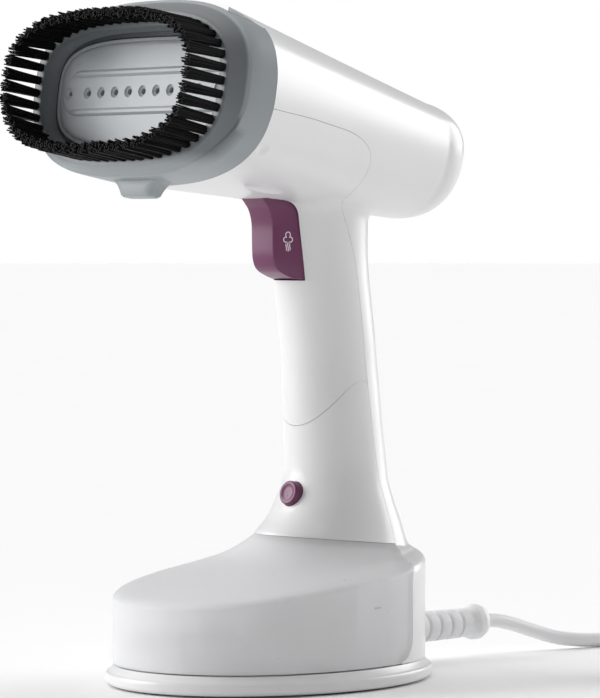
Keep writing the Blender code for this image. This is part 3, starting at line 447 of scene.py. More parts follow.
# ---- finishes ---------------------------------------------------------------------------------------------
def finish(name, colour, roughness, metallic=0.0, mottle=0.03, scale=400.0, bump=0.0, bump_scale=1500.0,
           wear=0.0, **sockets):
    """A procedural finish: the colour varies by a soft noise, roughness by a finer one, with a fine bump."""
    material = bpy.data.materials.new(name)
    material.use_nodes = True
    nodes, links = material.node_tree.nodes, material.node_tree.links
    shader = nodes["Principled BSDF"]
    place = nodes.new("ShaderNodeTexCoord")
    soft = nodes.new("ShaderNodeTexNoise")
    soft.inputs["Scale"].default_value = scale * 0.1
    soft.inputs["Detail"].default_value = 3.0
    links.new(place.outputs["Object"], soft.inputs["Vector"])
    tones = nodes.new("ShaderNodeValToRGB")
    low = [max(0.0, c * (1 - mottle)) for c in colour]
    high = [min(1.0, c * (1 + mottle)) for c in colour]
    tones.color_ramp.elements[0].color = (*low, 1.0)
    tones.color_ramp.elements[1].color = (*high, 1.0)
    tones.color_ramp.elements[0].position, tones.color_ramp.elements[1].position = 0.3, 0.7
    links.new(soft.outputs["Fac"], tones.inputs["Fac"])
    links.new(tones.outputs["Color"], shader.inputs["Base Color"])
    fine = nodes.new("ShaderNodeTexNoise")
    fine.inputs["Scale"].default_value = scale
    fine.inputs["Detail"].default_value = 4.0
    links.new(place.outputs["Object"], fine.inputs["Vector"])
    span = nodes.new("ShaderNodeMapRange")
    span.inputs["To Min"].default_value = max(0.02, roughness - 0.05)
    span.inputs["To Max"].default_value = roughness + 0.05
    links.new(fine.outputs["Fac"], span.inputs["Value"])
    links.new(span.outputs["Result"], shader.inputs["Roughness"])
    shader.inputs["Metallic"].default_value = metallic
    if bump:
        grain = nodes.new("ShaderNodeTexNoise")
        grain.inputs["Scale"].default_value = bump_scale
        links.new(place.outputs["Object"], grain.inputs["Vector"])
        lift = nodes.new("ShaderNodeBump")
        lift.inputs["Strength"].default_value = bump
        lift.inputs["Distance"].default_value = 0.0002
        links.new(grain.outputs["Fac"], lift.inputs["Height"])
        links.new(lift.outputs["Normal"], shader.inputs["Normal"])
    for key, value in sockets.items():
        shader.inputs[key.replace("_", " ")].default_value = value
    return material


RECIPES = {
    "gloss_white": ("casing", 0.30, dict(mottle=0.006, Coat_Weight=0.12, Coat_Roughness=0.12)),
    "satin_white": ("casing", 0.34, dict(mottle=0.008, bump=0.05)),
    "bezel_grey": ((0.07, 0.08, 0.085), 0.5, dict(mottle=0.02, bump=0.1)),
    "plate_grey": ("plate", 0.36, dict(mottle=0.02, bump=0.08, bump_scale=2200)),
    "bristle_black": ("bristle", 0.6, dict(mottle=0.3, scale=900, Specular_IOR_Level=0.15)),
    "violet": ("violet", 0.30, dict(mottle=0.02, bump=0.05, bump_scale=2400)),
    "mark_white": ((0.8, 0.76, 0.79), 0.5, {}),
    "tray_milky": ((0.88, 0.88, 0.89), 0.4, dict(mottle=0.01, bump=0.05)),
    "tick_grey": ((0.60, 0.60, 0.61), 0.4, dict(mottle=0.01)),
    "sleeve_white": ("cord", 0.5, dict(mottle=0.015, bump=0.1, bump_scale=1200)),
    "cord_white": ("cord", 0.42, dict(mottle=0.015, bump=0.08, bump_scale=1200)),
    "plug_white": ("cord", 0.36, dict(mottle=0.01, bump=0.08)),
    "tie_black": ((0.02, 0.02, 0.022), 0.6, dict(mottle=0.1, bump=0.3)),
    "rubber": ((0.12, 0.12, 0.125), 0.75, dict(mottle=0.06, bump=0.2)),
    "silicone": ((0.62, 0.56, 0.5), 0.5, dict(mottle=0.05, bump=0.1)),
    "dark_plastic": ((0.03, 0.03, 0.032), 0.5, dict(mottle=0.08, bump=0.15)),
    "steel": ((0.55, 0.55, 0.56), 0.28, dict(metallic=1.0, mottle=0.06, scale=900)),
    "cast_aluminium": ((0.58, 0.59, 0.6), 0.45, dict(metallic=1.0, mottle=0.08, bump=0.4)),
    "brass": ((0.72, 0.52, 0.22), 0.3, dict(metallic=1.0, mottle=0.06)),
    "nickel": ((0.70, 0.69, 0.66), 0.2, dict(metallic=1.0, mottle=0.03)),
    "copper": ((0.68, 0.30, 0.16), 0.35, dict(metallic=1.0, mottle=0.1, bump=0.3)),
    "board": ((0.02, 0.13, 0.05), 0.4, dict(mottle=0.2)),
}
FINISHES = {}


def finish_of(key):
    """The shared finish of that name, made when it is first asked for."""
    if key not in FINISHES:
        if key in RECIPES:
            tint, roughness, options = RECIPES[key]
            tint = getattr(colours(), tint) if isinstance(tint, str) else tint
            FINISHES[key] = finish(key, tint, roughness, **options)
        else:
            FINISHES[key] = {"brush_grey": brush_finish, "tank_clear": tank_finish}[key]()
    return FINISHES[key]


def brush_finish():
    """Satin grey plastic, with painted shade on the bristle seat's front: the piece's own attribute mixes
    the grey with a darker copy of it.
    """
    made = finish("brush_grey", colours().brush, 0.40, mottle=0.02, bump=0.10, bump_scale=2600)
    nodes, links = made.node_tree.nodes, made.node_tree.links
    shader, ramp = nodes["Principled BSDF"], next(n for n in nodes if n.type == "VALTORGB")
    tone, mix = nodes.new("ShaderNodeAttribute"), nodes.new("ShaderNodeMix")
    tone.attribute_name = "tone"
    mix.data_type = "RGBA"
    light, shade_grey = (socket for socket in mix.inputs if socket.type == "RGBA")
    # painted shade: a darker copy of the frame's grey, at 0.47 of it, stands in for the shade in the seat's
    # cove
    shade_grey.default_value = (*[c * 0.47 for c in colours().brush], 1.0)
    links.new(tone.outputs["Fac"], mix.inputs["Factor"])
    links.new(ramp.outputs["Color"], light)
    links.new(next(socket for socket in mix.outputs if socket.type == "RGBA"), shader.inputs["Base Color"])
    return made


def tank_finish():
    """Frosted clear plastic: mostly see-through, blurred, with a milky share."""
    made = finish("tank_clear", colours().tank, 0.30, mottle=0.01, scale=300)
    shader = made.node_tree.nodes["Principled BSDF"]
    shader.inputs["Transmission Weight"].default_value = 0.5
    shader.inputs["IOR"].default_value = 1.12
    return made


SLOT_FINISH = {
    "white_shell": "gloss_white", "white_grip": "gloss_white", "white_base_cover": "satin_white",
    "inner_white": "satin_white", "grey_bezel": "bezel_grey", "grey_frame": "brush_grey",
    "black_bristle": "bristle_black", "steam_plate": "plate_grey", "cast_aluminium": "cast_aluminium",
    "violet_plastic": "violet", "dark_plastic": "dark_plastic", "clear_tank": "tank_clear",
    "silicone": "silicone", "foot_rubber": "rubber", "white_cord": "cord_white", "white_plug": "plug_white",
    "cord_tie": "tie_black",
    "steel": "steel", "brass": "brass", "plated_brass": "nickel", "copper_winding": "copper",
    "circuit_board": "board",
}


# ---- stage ------------------------------------------------------------------------------------------------
class STEAMER_OT_stage(bpy.types.Operator):
    """Make the pale floor, the soft lights and the camera"""

    bl_idname = "steamer.stage"
    bl_label = "Stage"

    def execute(self, context):
        scene = context.scene
        floor = make_object("floor", [(-2e4, -2e4, 0), (2e4, -2e4, 0), (2e4, 2e4, 0), (-2e4, 2e4, 0)],
                            [(0, 1, 2, 3)], finish("floor", (0.90, 0.90, 0.90), 0.7, mottle=0.004, scale=40))
        world = bpy.data.worlds.new("studio")
        world.use_nodes = True
        nodes, links = world.node_tree.nodes, world.node_tree.links
        seen, glow = nodes.new("ShaderNodeBackground"), nodes["Background"]
        ray = nodes.new("ShaderNodeLightPath")
        either = nodes.new("ShaderNodeMixShader")
        glow.inputs["Color"].default_value, glow.inputs["Strength"].default_value = (1, 1, 1, 1), 0.34
        seen.inputs["Color"].default_value, seen.inputs["Strength"].default_value = (1, 1, 1, 1), 1.0
        links.new(ray.outputs["Is Camera Ray"], either.inputs["Fac"])
        links.new(glow.outputs["Background"], either.inputs[1])
        links.new(seen.outputs["Background"], either.inputs[2])
        links.new(either.outputs["Shader"], nodes["World Output"].inputs["Surface"])
        scene.world = world
        scene.view_settings.view_transform = "Standard"
        lamps = (("top", (-0.35, -0.05, 1.0), 80.0, 1.15), ("left", (-0.75, -0.66, 0.34), 45.0, 2.4),
                 ("right", (0.16, 0.94, 0.26), 45.0, 1.9))
        for name, towards, spread, power in lamps:
            lamp = bpy.data.lights.new(name, "SUN")
            lamp.angle, lamp.energy = radians(spread), power
            made = bpy.data.objects.new(name, lamp)
            made.rotation_euler = Vector(towards).to_track_quat("Z", "Y").to_euler()
            scene.collection.objects.link(made)
        camera = bpy.data.cameras.new("camera")
        camera.lens, camera.sensor_width = 3800 / 698 * 36, 36
        camera.clip_start, camera.clip_end = 0.1, 20
        made = bpy.data.objects.new("camera", camera)
        azimuth, elevation = radians(47.0), radians(1.85)
        back = Vector((sin(azimuth) * cos(elevation), -cos(azimuth) * cos(elevation), sin(elevation)))
        made.location = Vector(CAMERA_TARGET) + back * CAMERA_BACK
        made.rotation_euler = (-back).to_track_quat("-Z", "Y").to_euler()
        scene.collection.objects.link(made)
        scene.camera = made
        return {"FINISHED"}


# ---- cord -------------------------------------------------------------------------------------------------
def curve_through(route, step):
    """Points at even steps along the curve P = (2b + (c-a)t + (2a-5b+4c-d)t^2 + (3b-a-3c+d)t^3) / 2."""
    r = np.asarray(route, float)
    r = np.vstack([2 * r[0] - r[1], r, 2 * r[-1] - r[-2]])
    a, b, c, d = r[:-3, None], r[1:-2, None], r[2:-1, None], r[3:, None]
    t = np.linspace(0, 1, 30, endpoint=False)[None, :, None]
    fine = 0.5 * (2 * b + (c - a) * t + (2 * a - 5 * b + 4 * c - d) * t**2 + (3 * b - a - 3 * c + d) * t**3)
    fine = np.vstack([fine.reshape(-1, 3), r[-2:-1]])
    run = np.concatenate([[0], np.cumsum(np.linalg.norm(np.diff(fine, axis=0), axis=1))])
    even = np.linspace(0, run[-1], max(2, int(round(run[-1] / step)) + 1))
    return np.column_stack([np.interp(even, run, fine[:, k]) for k in range(3)])


def coil_path():
    """The stored coil, in metres: two layers of four columns. Turn by turn the radius steps by one cord, in
    over the lower layer and out over the upper one, by smooth ramps. The coil rises a bit over its tie."""
    pitch = sizes().cord_width + 0.0001
    turns = np.linspace(0, 7.5, 7 * 40 + 21)

    def ramp(start, width):
        share = np.clip((turns - start) / width, 0, 1)
        return share * share * (3 - 2 * share)

    inward = sum(ramp(turn - 0.22, 0.2) for turn in (1, 2, 3))
    outward = sum(ramp(turn - 0.22, 0.2) for turn in (5, 6, 7))
    radius = 0.0352 + pitch * (1.5 - inward + outward)
    angle = pi - 2 * pi * turns
    over_tie = np.exp(-(((angle - pi / 2 + pi) % (2 * pi) - pi) / 0.35) ** 2)
    height = 0.0034 + 0.0011 * over_tie + pitch * ramp(4.0, 0.2)
    return np.column_stack([COIL_CENTRE[0] + radius * np.cos(angle), COIL_CENTRE[1] + radius * np.sin(angle),
                            height])


class STEAMER_OT_cord(bpy.types.Operator):
    """Make the mains cord with its stored coil, its tie and its plug"""

    bl_idname = "steamer.cord"
    bl_label = "Cord"

    def execute(self, context):
        width = sizes().cord_width
        coil = coil_path()
        lead = curve_through(np.vstack([CORD_ROUTE, coil[2:5:2]]), 0.005)
        tail = curve_through(np.vstack([coil[-3:-1], (0.1122, 0.2255, 0.0124), TAIL_ROUTE]), 0.004)
        points = np.vstack([lead, coil[5:-3], tail])
        curve = bpy.data.curves.new("mains_cord", "CURVE")
        curve.dimensions = "3D"
        curve.bevel_depth, curve.bevel_resolution, curve.use_fill_caps = width / 2, 4, True
        line = curve.splines.new("POLY")
        line.points.add(len(points) - 1)
        line.points.foreach_set("co", np.column_stack([points, np.ones(len(points))]).ravel())
        line.use_smooth = True
        curve.materials.append(finish_of("cord_white"))
        cord = bpy.data.objects.new("mains_cord", curve)
        context.scene.collection.objects.link(cord)
        settle(cord, "casing", ("power_cord", "cord_coil", "cord_tail"))

        # the tie: a flat strap wrapped round the coil, rounded at its corners
        low, high = 0.5, 2 * (width / MM + 0.1) + 1.0
        near, far = 22.2 - 1.6, 48.2 + 0.8
        centre = np.array(COIL_CENTRE) / MM
        start = (near + 9, low)
        line = rounded([start, (far, low), (far, high), (near, high), (near, low), start], 3.0, 7)
        ahead = np.gradient(line, axis=0)
        side = np.column_stack([ahead[:, 1], -ahead[:, 0]]) / np.linalg.norm(ahead, axis=1)[:, None]
        section = [(-6.0, 0.0), (-5.6, 0.4), (5.6, 0.4), (6.0, 0.0), (5.6, -0.4), (-5.6, -0.4)]
        rings = []
        for across, lift in section:
            flat = line + side * lift
            rings.append(np.column_stack([np.full(len(flat), centre[0] + across), centre[1] + flat[:, 0],
                                          flat[:, 1]]))
        rings = np.stack(rings, 1)
        tie = make_object("tie_strap", rings.reshape(-1, 3), quads(len(line) - 1, 6, True, True))
        settle(tie, "casing", ("cord_tie",), finish_of("tie_black"))

        # the plug: a moulded body with a grip waist, and two round pins with rounded tips
        at = np.array(PLUG_AT) / MM
        body = rounded([(0, 3.6), (0, 5.0), (9, 5.4), (20, 7.4), (24.5, 12.8), (29.5, 17.2), (34, 18.0),
                        (37, 17.2), (40, 17.2), (43, 18.0), (51, 18.0), (52, 17.0), (52, 0.4)], 1.6, 5)
        plug = make_object("plug", *turned(body, at, (0, -1, 0), 56))
        settle(plug, "casing", ("plug_body",), finish_of("plug_white"))
        for number, across in ((1, -9.5), (2, 9.5)):
            tip = rounded([(51.5, 2.4), (69.6, 2.4), (71.2, 1.9), (71.2, 0.2)], 1.2, 5)
            pin = make_object(f"pin_{number}", *turned(tip, at + (across, 0, 0), (0, -1, 0), 24))
            settle(pin, "casing", (f"plug_pin_{number}",), finish_of("nickel"))
        return {"FINISHED"}


# ---- casings ----------------------------------------------------------------------------------------------
def head_prism(outline, axis, low, high):
    """A straight solid whose outline and ends are in the head's axes."""
    made = prism(outline, axis, low, high)
    move_points(made, from_head)
    return made


def front_region(distance):
    """Everything in front of the parting line, moved forwards by a distance."""
    line = np.asarray(PARTING, float)
    step = np.gradient(line, axis=0)
    aside = np.column_stack([-step[:, 1], step[:, 0]])
    line = rounded(line + distance * aside / np.linalg.norm(step, axis=1)[:, None], 3.5, 6)
    outline = [(line[0][0], -12.0), *line, (-125.0, line[-1][1] + 4.6), (-125.0, -12.0)]
    return prism(outline, "X", -REACH, REACH)


def below_seam(rise):
    """Everything under the slanting plane z = 62.5 - 0.095 y, raised by a distance."""
    return prism([(-125, -20), (90, -20), (90, 53.95 + rise), (-125, 74.375 + rise)], "X", -REACH, REACH)


def lip_outline(grow):
    """The outline, across and rearwards, of the casing's upper lip over the brush frame."""
    right = [(46 + grow, 4 - grow), (56 + grow, 15), (56 + grow, 40)]
    return [(-x, s) for x, s in reversed(right)] + right


def casing_body():
    """Column and head as one smooth skin, with the fillet between them."""
    table = fill_table(COLUMN, 12)
    body = make_object("body", *skin(column_rings(fill_table(COLUMN, 5))))
    dome = DOME_START + DOME_LENGTH * np.sin(np.linspace(0, pi / 2, 14))[1:]
    combine(body, make_object("head", *skin(head_rings([*np.linspace(-8, DOME_START, 10), *dome]))), "UNION")
    step = body.modifiers.new("grain", "REMESH")
    step.mode, step.voxel_size = "VOXEL", sizes().grain
    evaluated(body)
    reach = sizes().fillet / MM
    move_points(body, lambda points: draw_to_skin(points, lambda p: body_field(p, table, reach)))
    return body


def casing_hollow(wall):
    """The space inside the casings, above the dock that the tank slides on to."""
    hollow = make_object("hollow", *skin(column_rings(fill_table(COLUMN, 3), wall, 1.6)))
    dome = DOME_START + (DOME_LENGTH - wall) * np.sin(np.linspace(0, pi / 2, 8))[1:]
    rings = head_rings([-6, 16, 60, 110, DOME_START, *dome], wall)
    combine(hollow, make_object("head_in", *skin(rings)), "UNION")
    dock = [(-120, -20), (35.8 + wall, -20), (35.8 + wall, 50.2), (47.5, 58.0 + wall), (-120, 73.9 + wall)]
    return cut(hollow, prism(dock, "X", -REACH, REACH))


class STEAMER_OT_casings(bpy.types.Operator):
    """Make the rear casing, the grip cover and the front cover with the gaps between them"""

    bl_idname = "steamer.casings"
    bl_label = "Casings"

    def execute(self, context):
        wall, gap = sizes().wall / MM, sizes().gap / MM
        body = casing_body()
        cut(body, block((-REACH, -125, -20), (REACH, 125, 9.2)))
        cut(body, casing_hollow(wall))
        step = head_prism([(-90, -20), (90, -20), (90, 16.3), (-90, 16.3)], "Z", -80, 80)
        cut(step, head_prism(lip_outline(0), "Z", 0, 90))
        cut(body, step)

        front = keep(twin(body, "front_cover"), front_region(gap / 2))
        cut(front, below_seam(gap / 2))
        body.name = "rear_casing"
        cut(body, front_region(-gap / 2))
        drill(body, 60, 90, 7.4, (0, 0, 16.5), (0, 1, 0))
        drill(body, 30, 42, 4.5, (0, 0, VALVE_LEVEL), (0, 1, 0), 24)

        turn = np.linspace(-pi / 2, pi / 2, 49)
        level, half, drop = 133, 19.5, 23.5
        tongue = np.column_stack([half * np.sin(turn), level - drop * np.cos(turn)])
        panel = twin(front, "grip_cover")
        top = [(REACH, 300), (-REACH, 300)]
        wider = tongue * (1 + gap / half, 1) - (0, gap)
        cut(front, prism([(-REACH, level - gap), *wider, (REACH, level - gap), *top], "Y", -125, 60))
        keep(panel, prism([(-REACH, level), *tongue, (REACH, level), *top], "Y", -125, 60))
        turn = np.linspace(0, pi, 17)
        dent = np.column_stack([-8.0 * np.cos(turn), 8.0 * np.sin(turn) + 1e-3])
        scoop = np.column_stack([-17.0 * np.cos(turn), 3.4 * np.sin(turn) + 1e-3])
        for side in (-1, 1):
            at, inwards = (side * 61.9, -55.9, 222.1), (side * 0.68, 0.08, -0.73)
            cut(panel, make_object("dent", *turned(dent, at, inwards)))
            cut(panel, make_object("scoop", *turned(scoop, (side * 27.5, -27.0, 210.3),
                                                    (-side * 0.3, 0.95, -0.15), squash=(1.9, 1.0))))
        opening = [(-40, 172.6), (17.5, 172.6), (17.5, 212.5), (-11.8, 212.5), (-11.8, 200), (-40, 200)]
        cut(panel, prism(rounded(opening, 1.5), "X", -10.0, 10.0))
        drill(front, -12, 4, 5.75, BUTTON_AT, BUTTON_AXIS)
        for made, slot, node in ((body, "white_shell", "rear_shell"), (panel, "white_grip", "grip_panel"),
                                 (front, "white_shell", "front_shell")):
            soften(made, 30)
            settle(made, "casing", (node,), finish_of("gloss_white"))
        return {"FINISHED"}


# ---- tank and base ----------------------------------------------------------------------------------------
def tank_space(wall):
    """The region in front of the tank's rear wall, with the round lower corner."""
    turn = np.linspace(0, pi / 2, 9)
    arc = np.column_stack([25.8 + (10 - wall) * np.sin(turn), 20 - (10 - wall) * np.cos(turn)])
    end = 35.8 - wall
    outline = [(-125, -20), (25.7, -20), *arc, (end, 47), (end + 10.5, 57.2), (end + 10.5, 70), (-125, 90)]
    return prism(outline, "X", -REACH, REACH)


class STEAMER_OT_tank(bpy.types.Operator):
    """Make the frosted tank, its tray with the wall ribs, and its level tick"""

    bl_idname = "steamer.tank"
    bl_label = "Tank"

    def execute(self, context):
        gap, wall = sizes().gap / MM, 2.2
        table = np.array(COLUMN[:SEAM_ROW + 1])
        table[-1, 0] -= gap / 2
        bowl = make_object("tank_bowl", *skin(column_rings(fill_table(table, 9), count=160)))
        keep(bowl, front_region(gap / 2))
        cut(bowl, block((-REACH, -125, -20), (REACH, 125, 9.5)))
        table[-1, 0] -= 1.0
        hollow = make_object("water", *skin(column_rings(fill_table(table, 6), wall, 2.0, 96)))
        keep(hollow, tank_space(wall))
        drill(hollow, 50.5, 80, 14.8, (0, 22, 0), (0, 0, 1))
        cut(bowl, hollow)
        drill(bowl, 53.6, 80, 12.6, (0, 22, 0), (0, 0, 1))
        drill(bowl, 40, 60, 8.2, (0, 22, 0), (0, 0, 1))
        drill(bowl, 30, 40, 4.5, (0, 0, VALVE_LEVEL), (0, 1, 0), 24)
        soften(bowl, 30)
        settle(bowl, "tank", ("tank_shell",), finish_of("tank_clear"))

        # the tray: floor and a low wall inside the bowl, and a rib up each side wall
        inset = wall + 0.3
        rim = np.array([(9.6, 0.0), (17.0, 0.0), (17.0, 1.6), (12.4, 1.6), (12.2, 30.0)])
        rows = [(z, 0.0, FOOT_WIDTH - inset - s, 0.0, FOOT_DEPTH - inset - s, FOOT_DEPTH - inset - s)
                for z, s in rim]
        tray = make_object("tank_tray", *skin(column_rings(rows, count=128)))
        cut(tray, block((-90, 25.2, 0), (90, 90, 30)))
        settle(tray, "tank", ("tank_floor",), finish_of("tray_milky"))
        for side, name in ((1, "tank_rib_right"), (-1, "tank_rib_left")):
            rib = make_object(name, *skin(column_rings(fill_table(table[:6], 4), wall - 0.3, 2.0, 96)))
            keep(rib, block((min(side * 44, side * 60), 10.4, 17.2), (max(side * 44, side * 60), 11.6, 46)))
            settle(rib, "tank", (), finish_of("tray_milky"))
            outer = FOOT_WIDTH * (1 - (10.0 / FOOT_DEPTH) ** COLUMN_POWER) ** (1 / COLUMN_POWER)
            tick = block((side * outer - 0.25, 6.6, 34.4), (side * outer + 0.4, 10.4, 35.0))
            tick.name = f"level_tick_{'right' if side > 0 else 'left'}"
            settle(tick, "tank", (), finish_of("tick_grey"))
        return {"FINISHED"}


class STEAMER_OT_base(bpy.types.Operator):
    """Make the base flange with its two-level edge"""

    bl_idname = "steamer.base"
    bl_label = "Base"

    def execute(self, context):
        profile = rounded([(5.6, -5.0), (0.8, -5.0), (0.8, -1.4), (2.0, -0.1), (4.9, 0.0), (6.0, -0.35),
                           (6.1, -1.0), (7.9, -2.7), (8.9, -3.5)], 0.8, 5)
        turn = np.linspace(0, 2 * pi, 160, endpoint=False)
        rings = [np.column_stack([(62 + r) * np.cos(turn), (77 + r) * np.sin(turn), np.full(160, z)])
                 for z, r in profile]
        base = make_object("base_flange", *skin(rings))
        for side in (-1, 1):
            drill(base, 0, 20, 1.9, (side * 30, 56.4, 0), (0, 0, 1), 16)
        settle(base, "casing", ("base_plate",), finish_of("gloss_white"))
        return {"FINISHED"}


class STEAMER_OT_sleeve(bpy.types.Operator):
    """Make the ribbed sleeve that protects the cord"""

    bl_idname = "steamer.sleeve"
    bl_label = "Cord sleeve"

    def execute(self, context):
        profile = [(66.0, 6.6), (74.6, 6.6), (75.6, 7.0)]
        for k in range(6):
            start, radius = 76.6 + 7.1 * k, 7.1 - 0.08 * k
            profile += [(start, radius), (start + 0.35, radius - 1.3), (start + 1.25, radius - 1.3),
                        (start + 1.6, radius)]
        profile += [(120.0, 6.4), (123.0, 8.0), (126.5, 8.1), (129.4, 7.0), (129.4, 3.5), (66.0, 3.5)]
        profile = rounded(profile, 0.45, 4)
        sleeve = make_object("cord_sleeve", *turned(profile, (0, 0, SLEEVE_LEVEL), (0, 1, 0), 56, True))
        key = block((-11, 66.0, 9.7), (11, 68.6, 23.0))
        drill(key, 60, 80, 4.5, (0, 0, SLEEVE_LEVEL), (0, 1, 0))
        combine(sleeve, key, "UNION")
        soften(sleeve, 40)
        settle(sleeve, "casing", ("strain_relief",), finish_of("sleeve_white"))
        return {"FINISHED"}


# ---- brush and plate --------------------------------------------------------------------------------------
def head_ring(depth, half_width, top, bottom, exponent, count=144):
    """One ring of points in the head's axes: a superellipse at a depth."""
    turn = np.linspace(0, 2 * pi, count, endpoint=False)
    x, v = oval(turn, half_width, top, bottom, exponent)
    return from_head(np.column_stack([x, np.full(count, depth), v]))


class STEAMER_OT_brush(bpy.types.Operator):
    """Make the brush frame with its grooved rim and its release tab"""

    bl_idname = "steamer.brush"
    bl_label = "Brush frame"

    def execute(self, context):
        profile = np.array([
            (16.0, 67.4, 37.9, 38.9, 2.60), (9.0, 66.95, 37.7, 38.7, 2.60), (3.6, 66.5, 37.5, 38.5, 2.60),
            (2.9, 66.3, 37.3, 38.3, 2.60), (2.5, 65.8, 36.8, 37.9, 2.60), (2.3, 65.3, 36.3, 37.5, 2.61),
            (1.2, 64.7, 35.6, 37.0, 2.64), (-0.6, 63.9, 34.4, 36.4, 2.68), (-2.6, 63.1, 33.1, 35.5, 2.72),
            (-4.4, 62.4, 32.1, 34.8, 2.76), (-5.6, 61.9, 31.4, 34.3, 2.79), (-6.1, 61.2, 30.7, 33.6, 2.80),
            (-6.2, 60.4, 29.6, 32.6, 2.80), (-6.2, 57.3, 26.0, 29.3, 3.0), (-6.0, 56.5, 24.7, 28.3, 3.2),
            (-5.2, 56.3, 24.2, 28.0, 3.2), (3.0, 56.8, 24.2, 27.8, 3.2), (3.0, 63.5, 34.3, 35.3, 2.6),
            (16.0, 64.1, 34.7, 35.7, 2.6)])
        frame_band = make_object("frame_band", *skin([head_ring(*row) for row in profile], True), sharp=30)

        def lower_rim(points):
            """The outer rim comes forward below: s -= 5.5 k(v) w(s), k and w smooth steps from 0 to 1."""
            x, s, v = to_head(points).T
            outside = (np.abs(x) / 61.3) ** 2.8 + (np.abs(v) / np.where(v > 0, 30.8, 33.7)) ** 2.8 > 1.0
            k = np.clip((-v - 8.0) / 26.0, 0, 1)
            w = np.clip((s + 6.1) / 8.0, 0, 1) * np.clip((16.0 - s) / 12.0, 0, 1)
            s = s - 5.5 * k * k * (3 - 2 * k) * w * outside
            return from_head(np.stack([x, s, v], -1))

        move_points(frame_band, lower_rim)
        levels = ((-36.9, 19.0, 3.6, 13.4), (-38.6, 15.6, 3.5, 13.3), (-40.6, 12.6, 3.5, 13.0),
                  (-42.6, 10.9, 3.6, 12.6), (-44.6, 10.0, 4.1, 12.0), (-45.4, 8.9, 5.0, 11.0))
        turn = np.linspace(0, 2 * pi, 40, endpoint=False)
        rings = []
        for v, half, front, rear in levels:
            x, s = oval(turn, half, (rear - front) / 2, (rear - front) / 2, 4.5)
            rings.append(from_head(np.column_stack([x, s + (front + rear) / 2, np.full(40, v)])))
        combine(frame_band, make_object("tab", *skin(rings)), "UNION")
        cut(frame_band, head_prism(lip_outline(sizes().gap / MM), "Z", 4, 90))
        soften(frame_band, 30)
        # painted shade: points on the front-facing seat and its cove get the darker grey, fading in from s =
        # 1.9 and above v = -33.5
        tone = frame_band.data.attributes.new("tone", "FLOAT", "POINT")
        _, s, v = to_head(points_of(frame_band)).T
        front = np.clip((1.9 - s) / 0.6, 0, 1) * np.clip((v + 33.5) / 5.0, 0, 1)
        tone.data.foreach_set("value", front.astype(np.float32))
        settle(frame_band, "brush", ("brush_frame",), finish_of("brush_grey"))
        return {"FINISHED"}


def tuft_places(count):
    """Places of the tufts at even steps round their line, with their outward directions."""
    turn = np.linspace(0, 2 * pi, 2000, endpoint=True)
    x, v = oval(turn, *TUFT_LINE)
    run = np.concatenate([[0], np.cumsum(np.hypot(np.diff(x), np.diff(v)))])
    even = np.linspace(0, run[-1], count, endpoint=False)
    at = np.column_stack([np.interp(even, run, x), np.interp(even, run, v)])
    ahead = np.roll(at, -1, axis=0) - np.roll(at, 1, axis=0)
    return at, np.column_stack([ahead[:, 1], -ahead[:, 0]]) / np.linalg.norm(ahead, axis=1)[:, None]


class STEAMER_OT_bristles(bpy.types.Operator):
    """Make the ring of bristle tufts"""

    bl_idname = "steamer.bristles"
    bl_label = "Bristles"

    def execute(self, context):
        rng = np.random.default_rng(7)
        count, hairs, root = sizes().tufts, 32, SEAT
        reach = sizes().tuft_length / MM - root
        at, out = tuft_places(count)
        k = np.arange(hairs)
        spread = np.sqrt((k + 0.5) / hairs)
        swirl = k * pi * (3 - sqrt(5))
        local = np.stack([spread * np.cos(swirl), spread * np.sin(swirl)], -1)[None] \
            + rng.normal(0, 0.05, (count, hairs, 2))
        along = np.stack([-out[:, 1], out[:, 0]], -1)
        tilt = rng.normal(0, 0.10, (count, hairs, 2))
        reach = reach + rng.uniform(-0.8, 0.3, (count, hairs))
        stations = ((root + 0.6, 1.6, 0.0), (root - 10.0, 1.95, 0.5), (0.0, 2.45, 1.0))
        turn = np.arange(4) * pi / 2 + pi / 4
        rings = []
        for number, (depth, wide, share) in enumerate(stations):
            spot = local * wide + tilt * share * 2.0 - (1.1 * share, 0.0)
            place = at[:, None] + spot[..., :1] * out[:, None] + spot[..., 1:] * along[:, None]
            s = np.full((count, hairs), depth) if number < 2 else -reach
            thick = 0.40 if number < 2 else 0.36
            ring = np.stack([place[..., None, 0] + thick * np.cos(turn), np.repeat(s[..., None], 4, -1),
                             place[..., None, 1] + thick * np.sin(turn)], -1)
            rings.append(ring)
        points = np.stack(rings, 2).reshape(-1, 3)
        one = np.vstack([quads(3, 4), [[0, 1, 2, 3], [8, 9, 10, 11]]])
        faces = (one[None] + 12 * np.arange(count * hairs)[:, None, None]).reshape(-1, 4)
        tufts = make_object("bristle_tufts", from_head(points), faces.tolist(), sharp=60)
        settle(tufts, "brush", ("bristle_ring",), finish_of("bristle_black"))
        return {"FINISHED"}


def plate_relief(x, v):
    """Height of the plate's panel: two ridges with tapered left ends, a curved groove round the end hole."""
    def soft(value, width):
        return np.clip(0.5 + value / width, 0, 1)

    v = v - HOLE_LEVEL
    half = np.interp(x, [-46.5, -41.0, 60], [0.1, 1.15, 1.15])
    ridge = soft(half - np.abs(np.abs(v) - RIDGE_LEVEL), 1.1) * soft(x + 46.0, 1.5)
    notch = np.exp(-(((x + 45.2) / 2.6) ** 2 + ((np.abs(v) - RIDGE_LEVEL) / 1.3) ** 2))
    ring = np.hypot((x + 44.0) / 8.6, v / RIDGE_LEVEL)
    groove = np.exp(-(((ring - 1) * RIDGE_LEVEL) / 0.45) ** 2) * soft(-42.0 - x, 3.0) * (1 - 0.8 * notch)
    return 0.8 * ridge - 0.4 * notch - 0.38 * groove


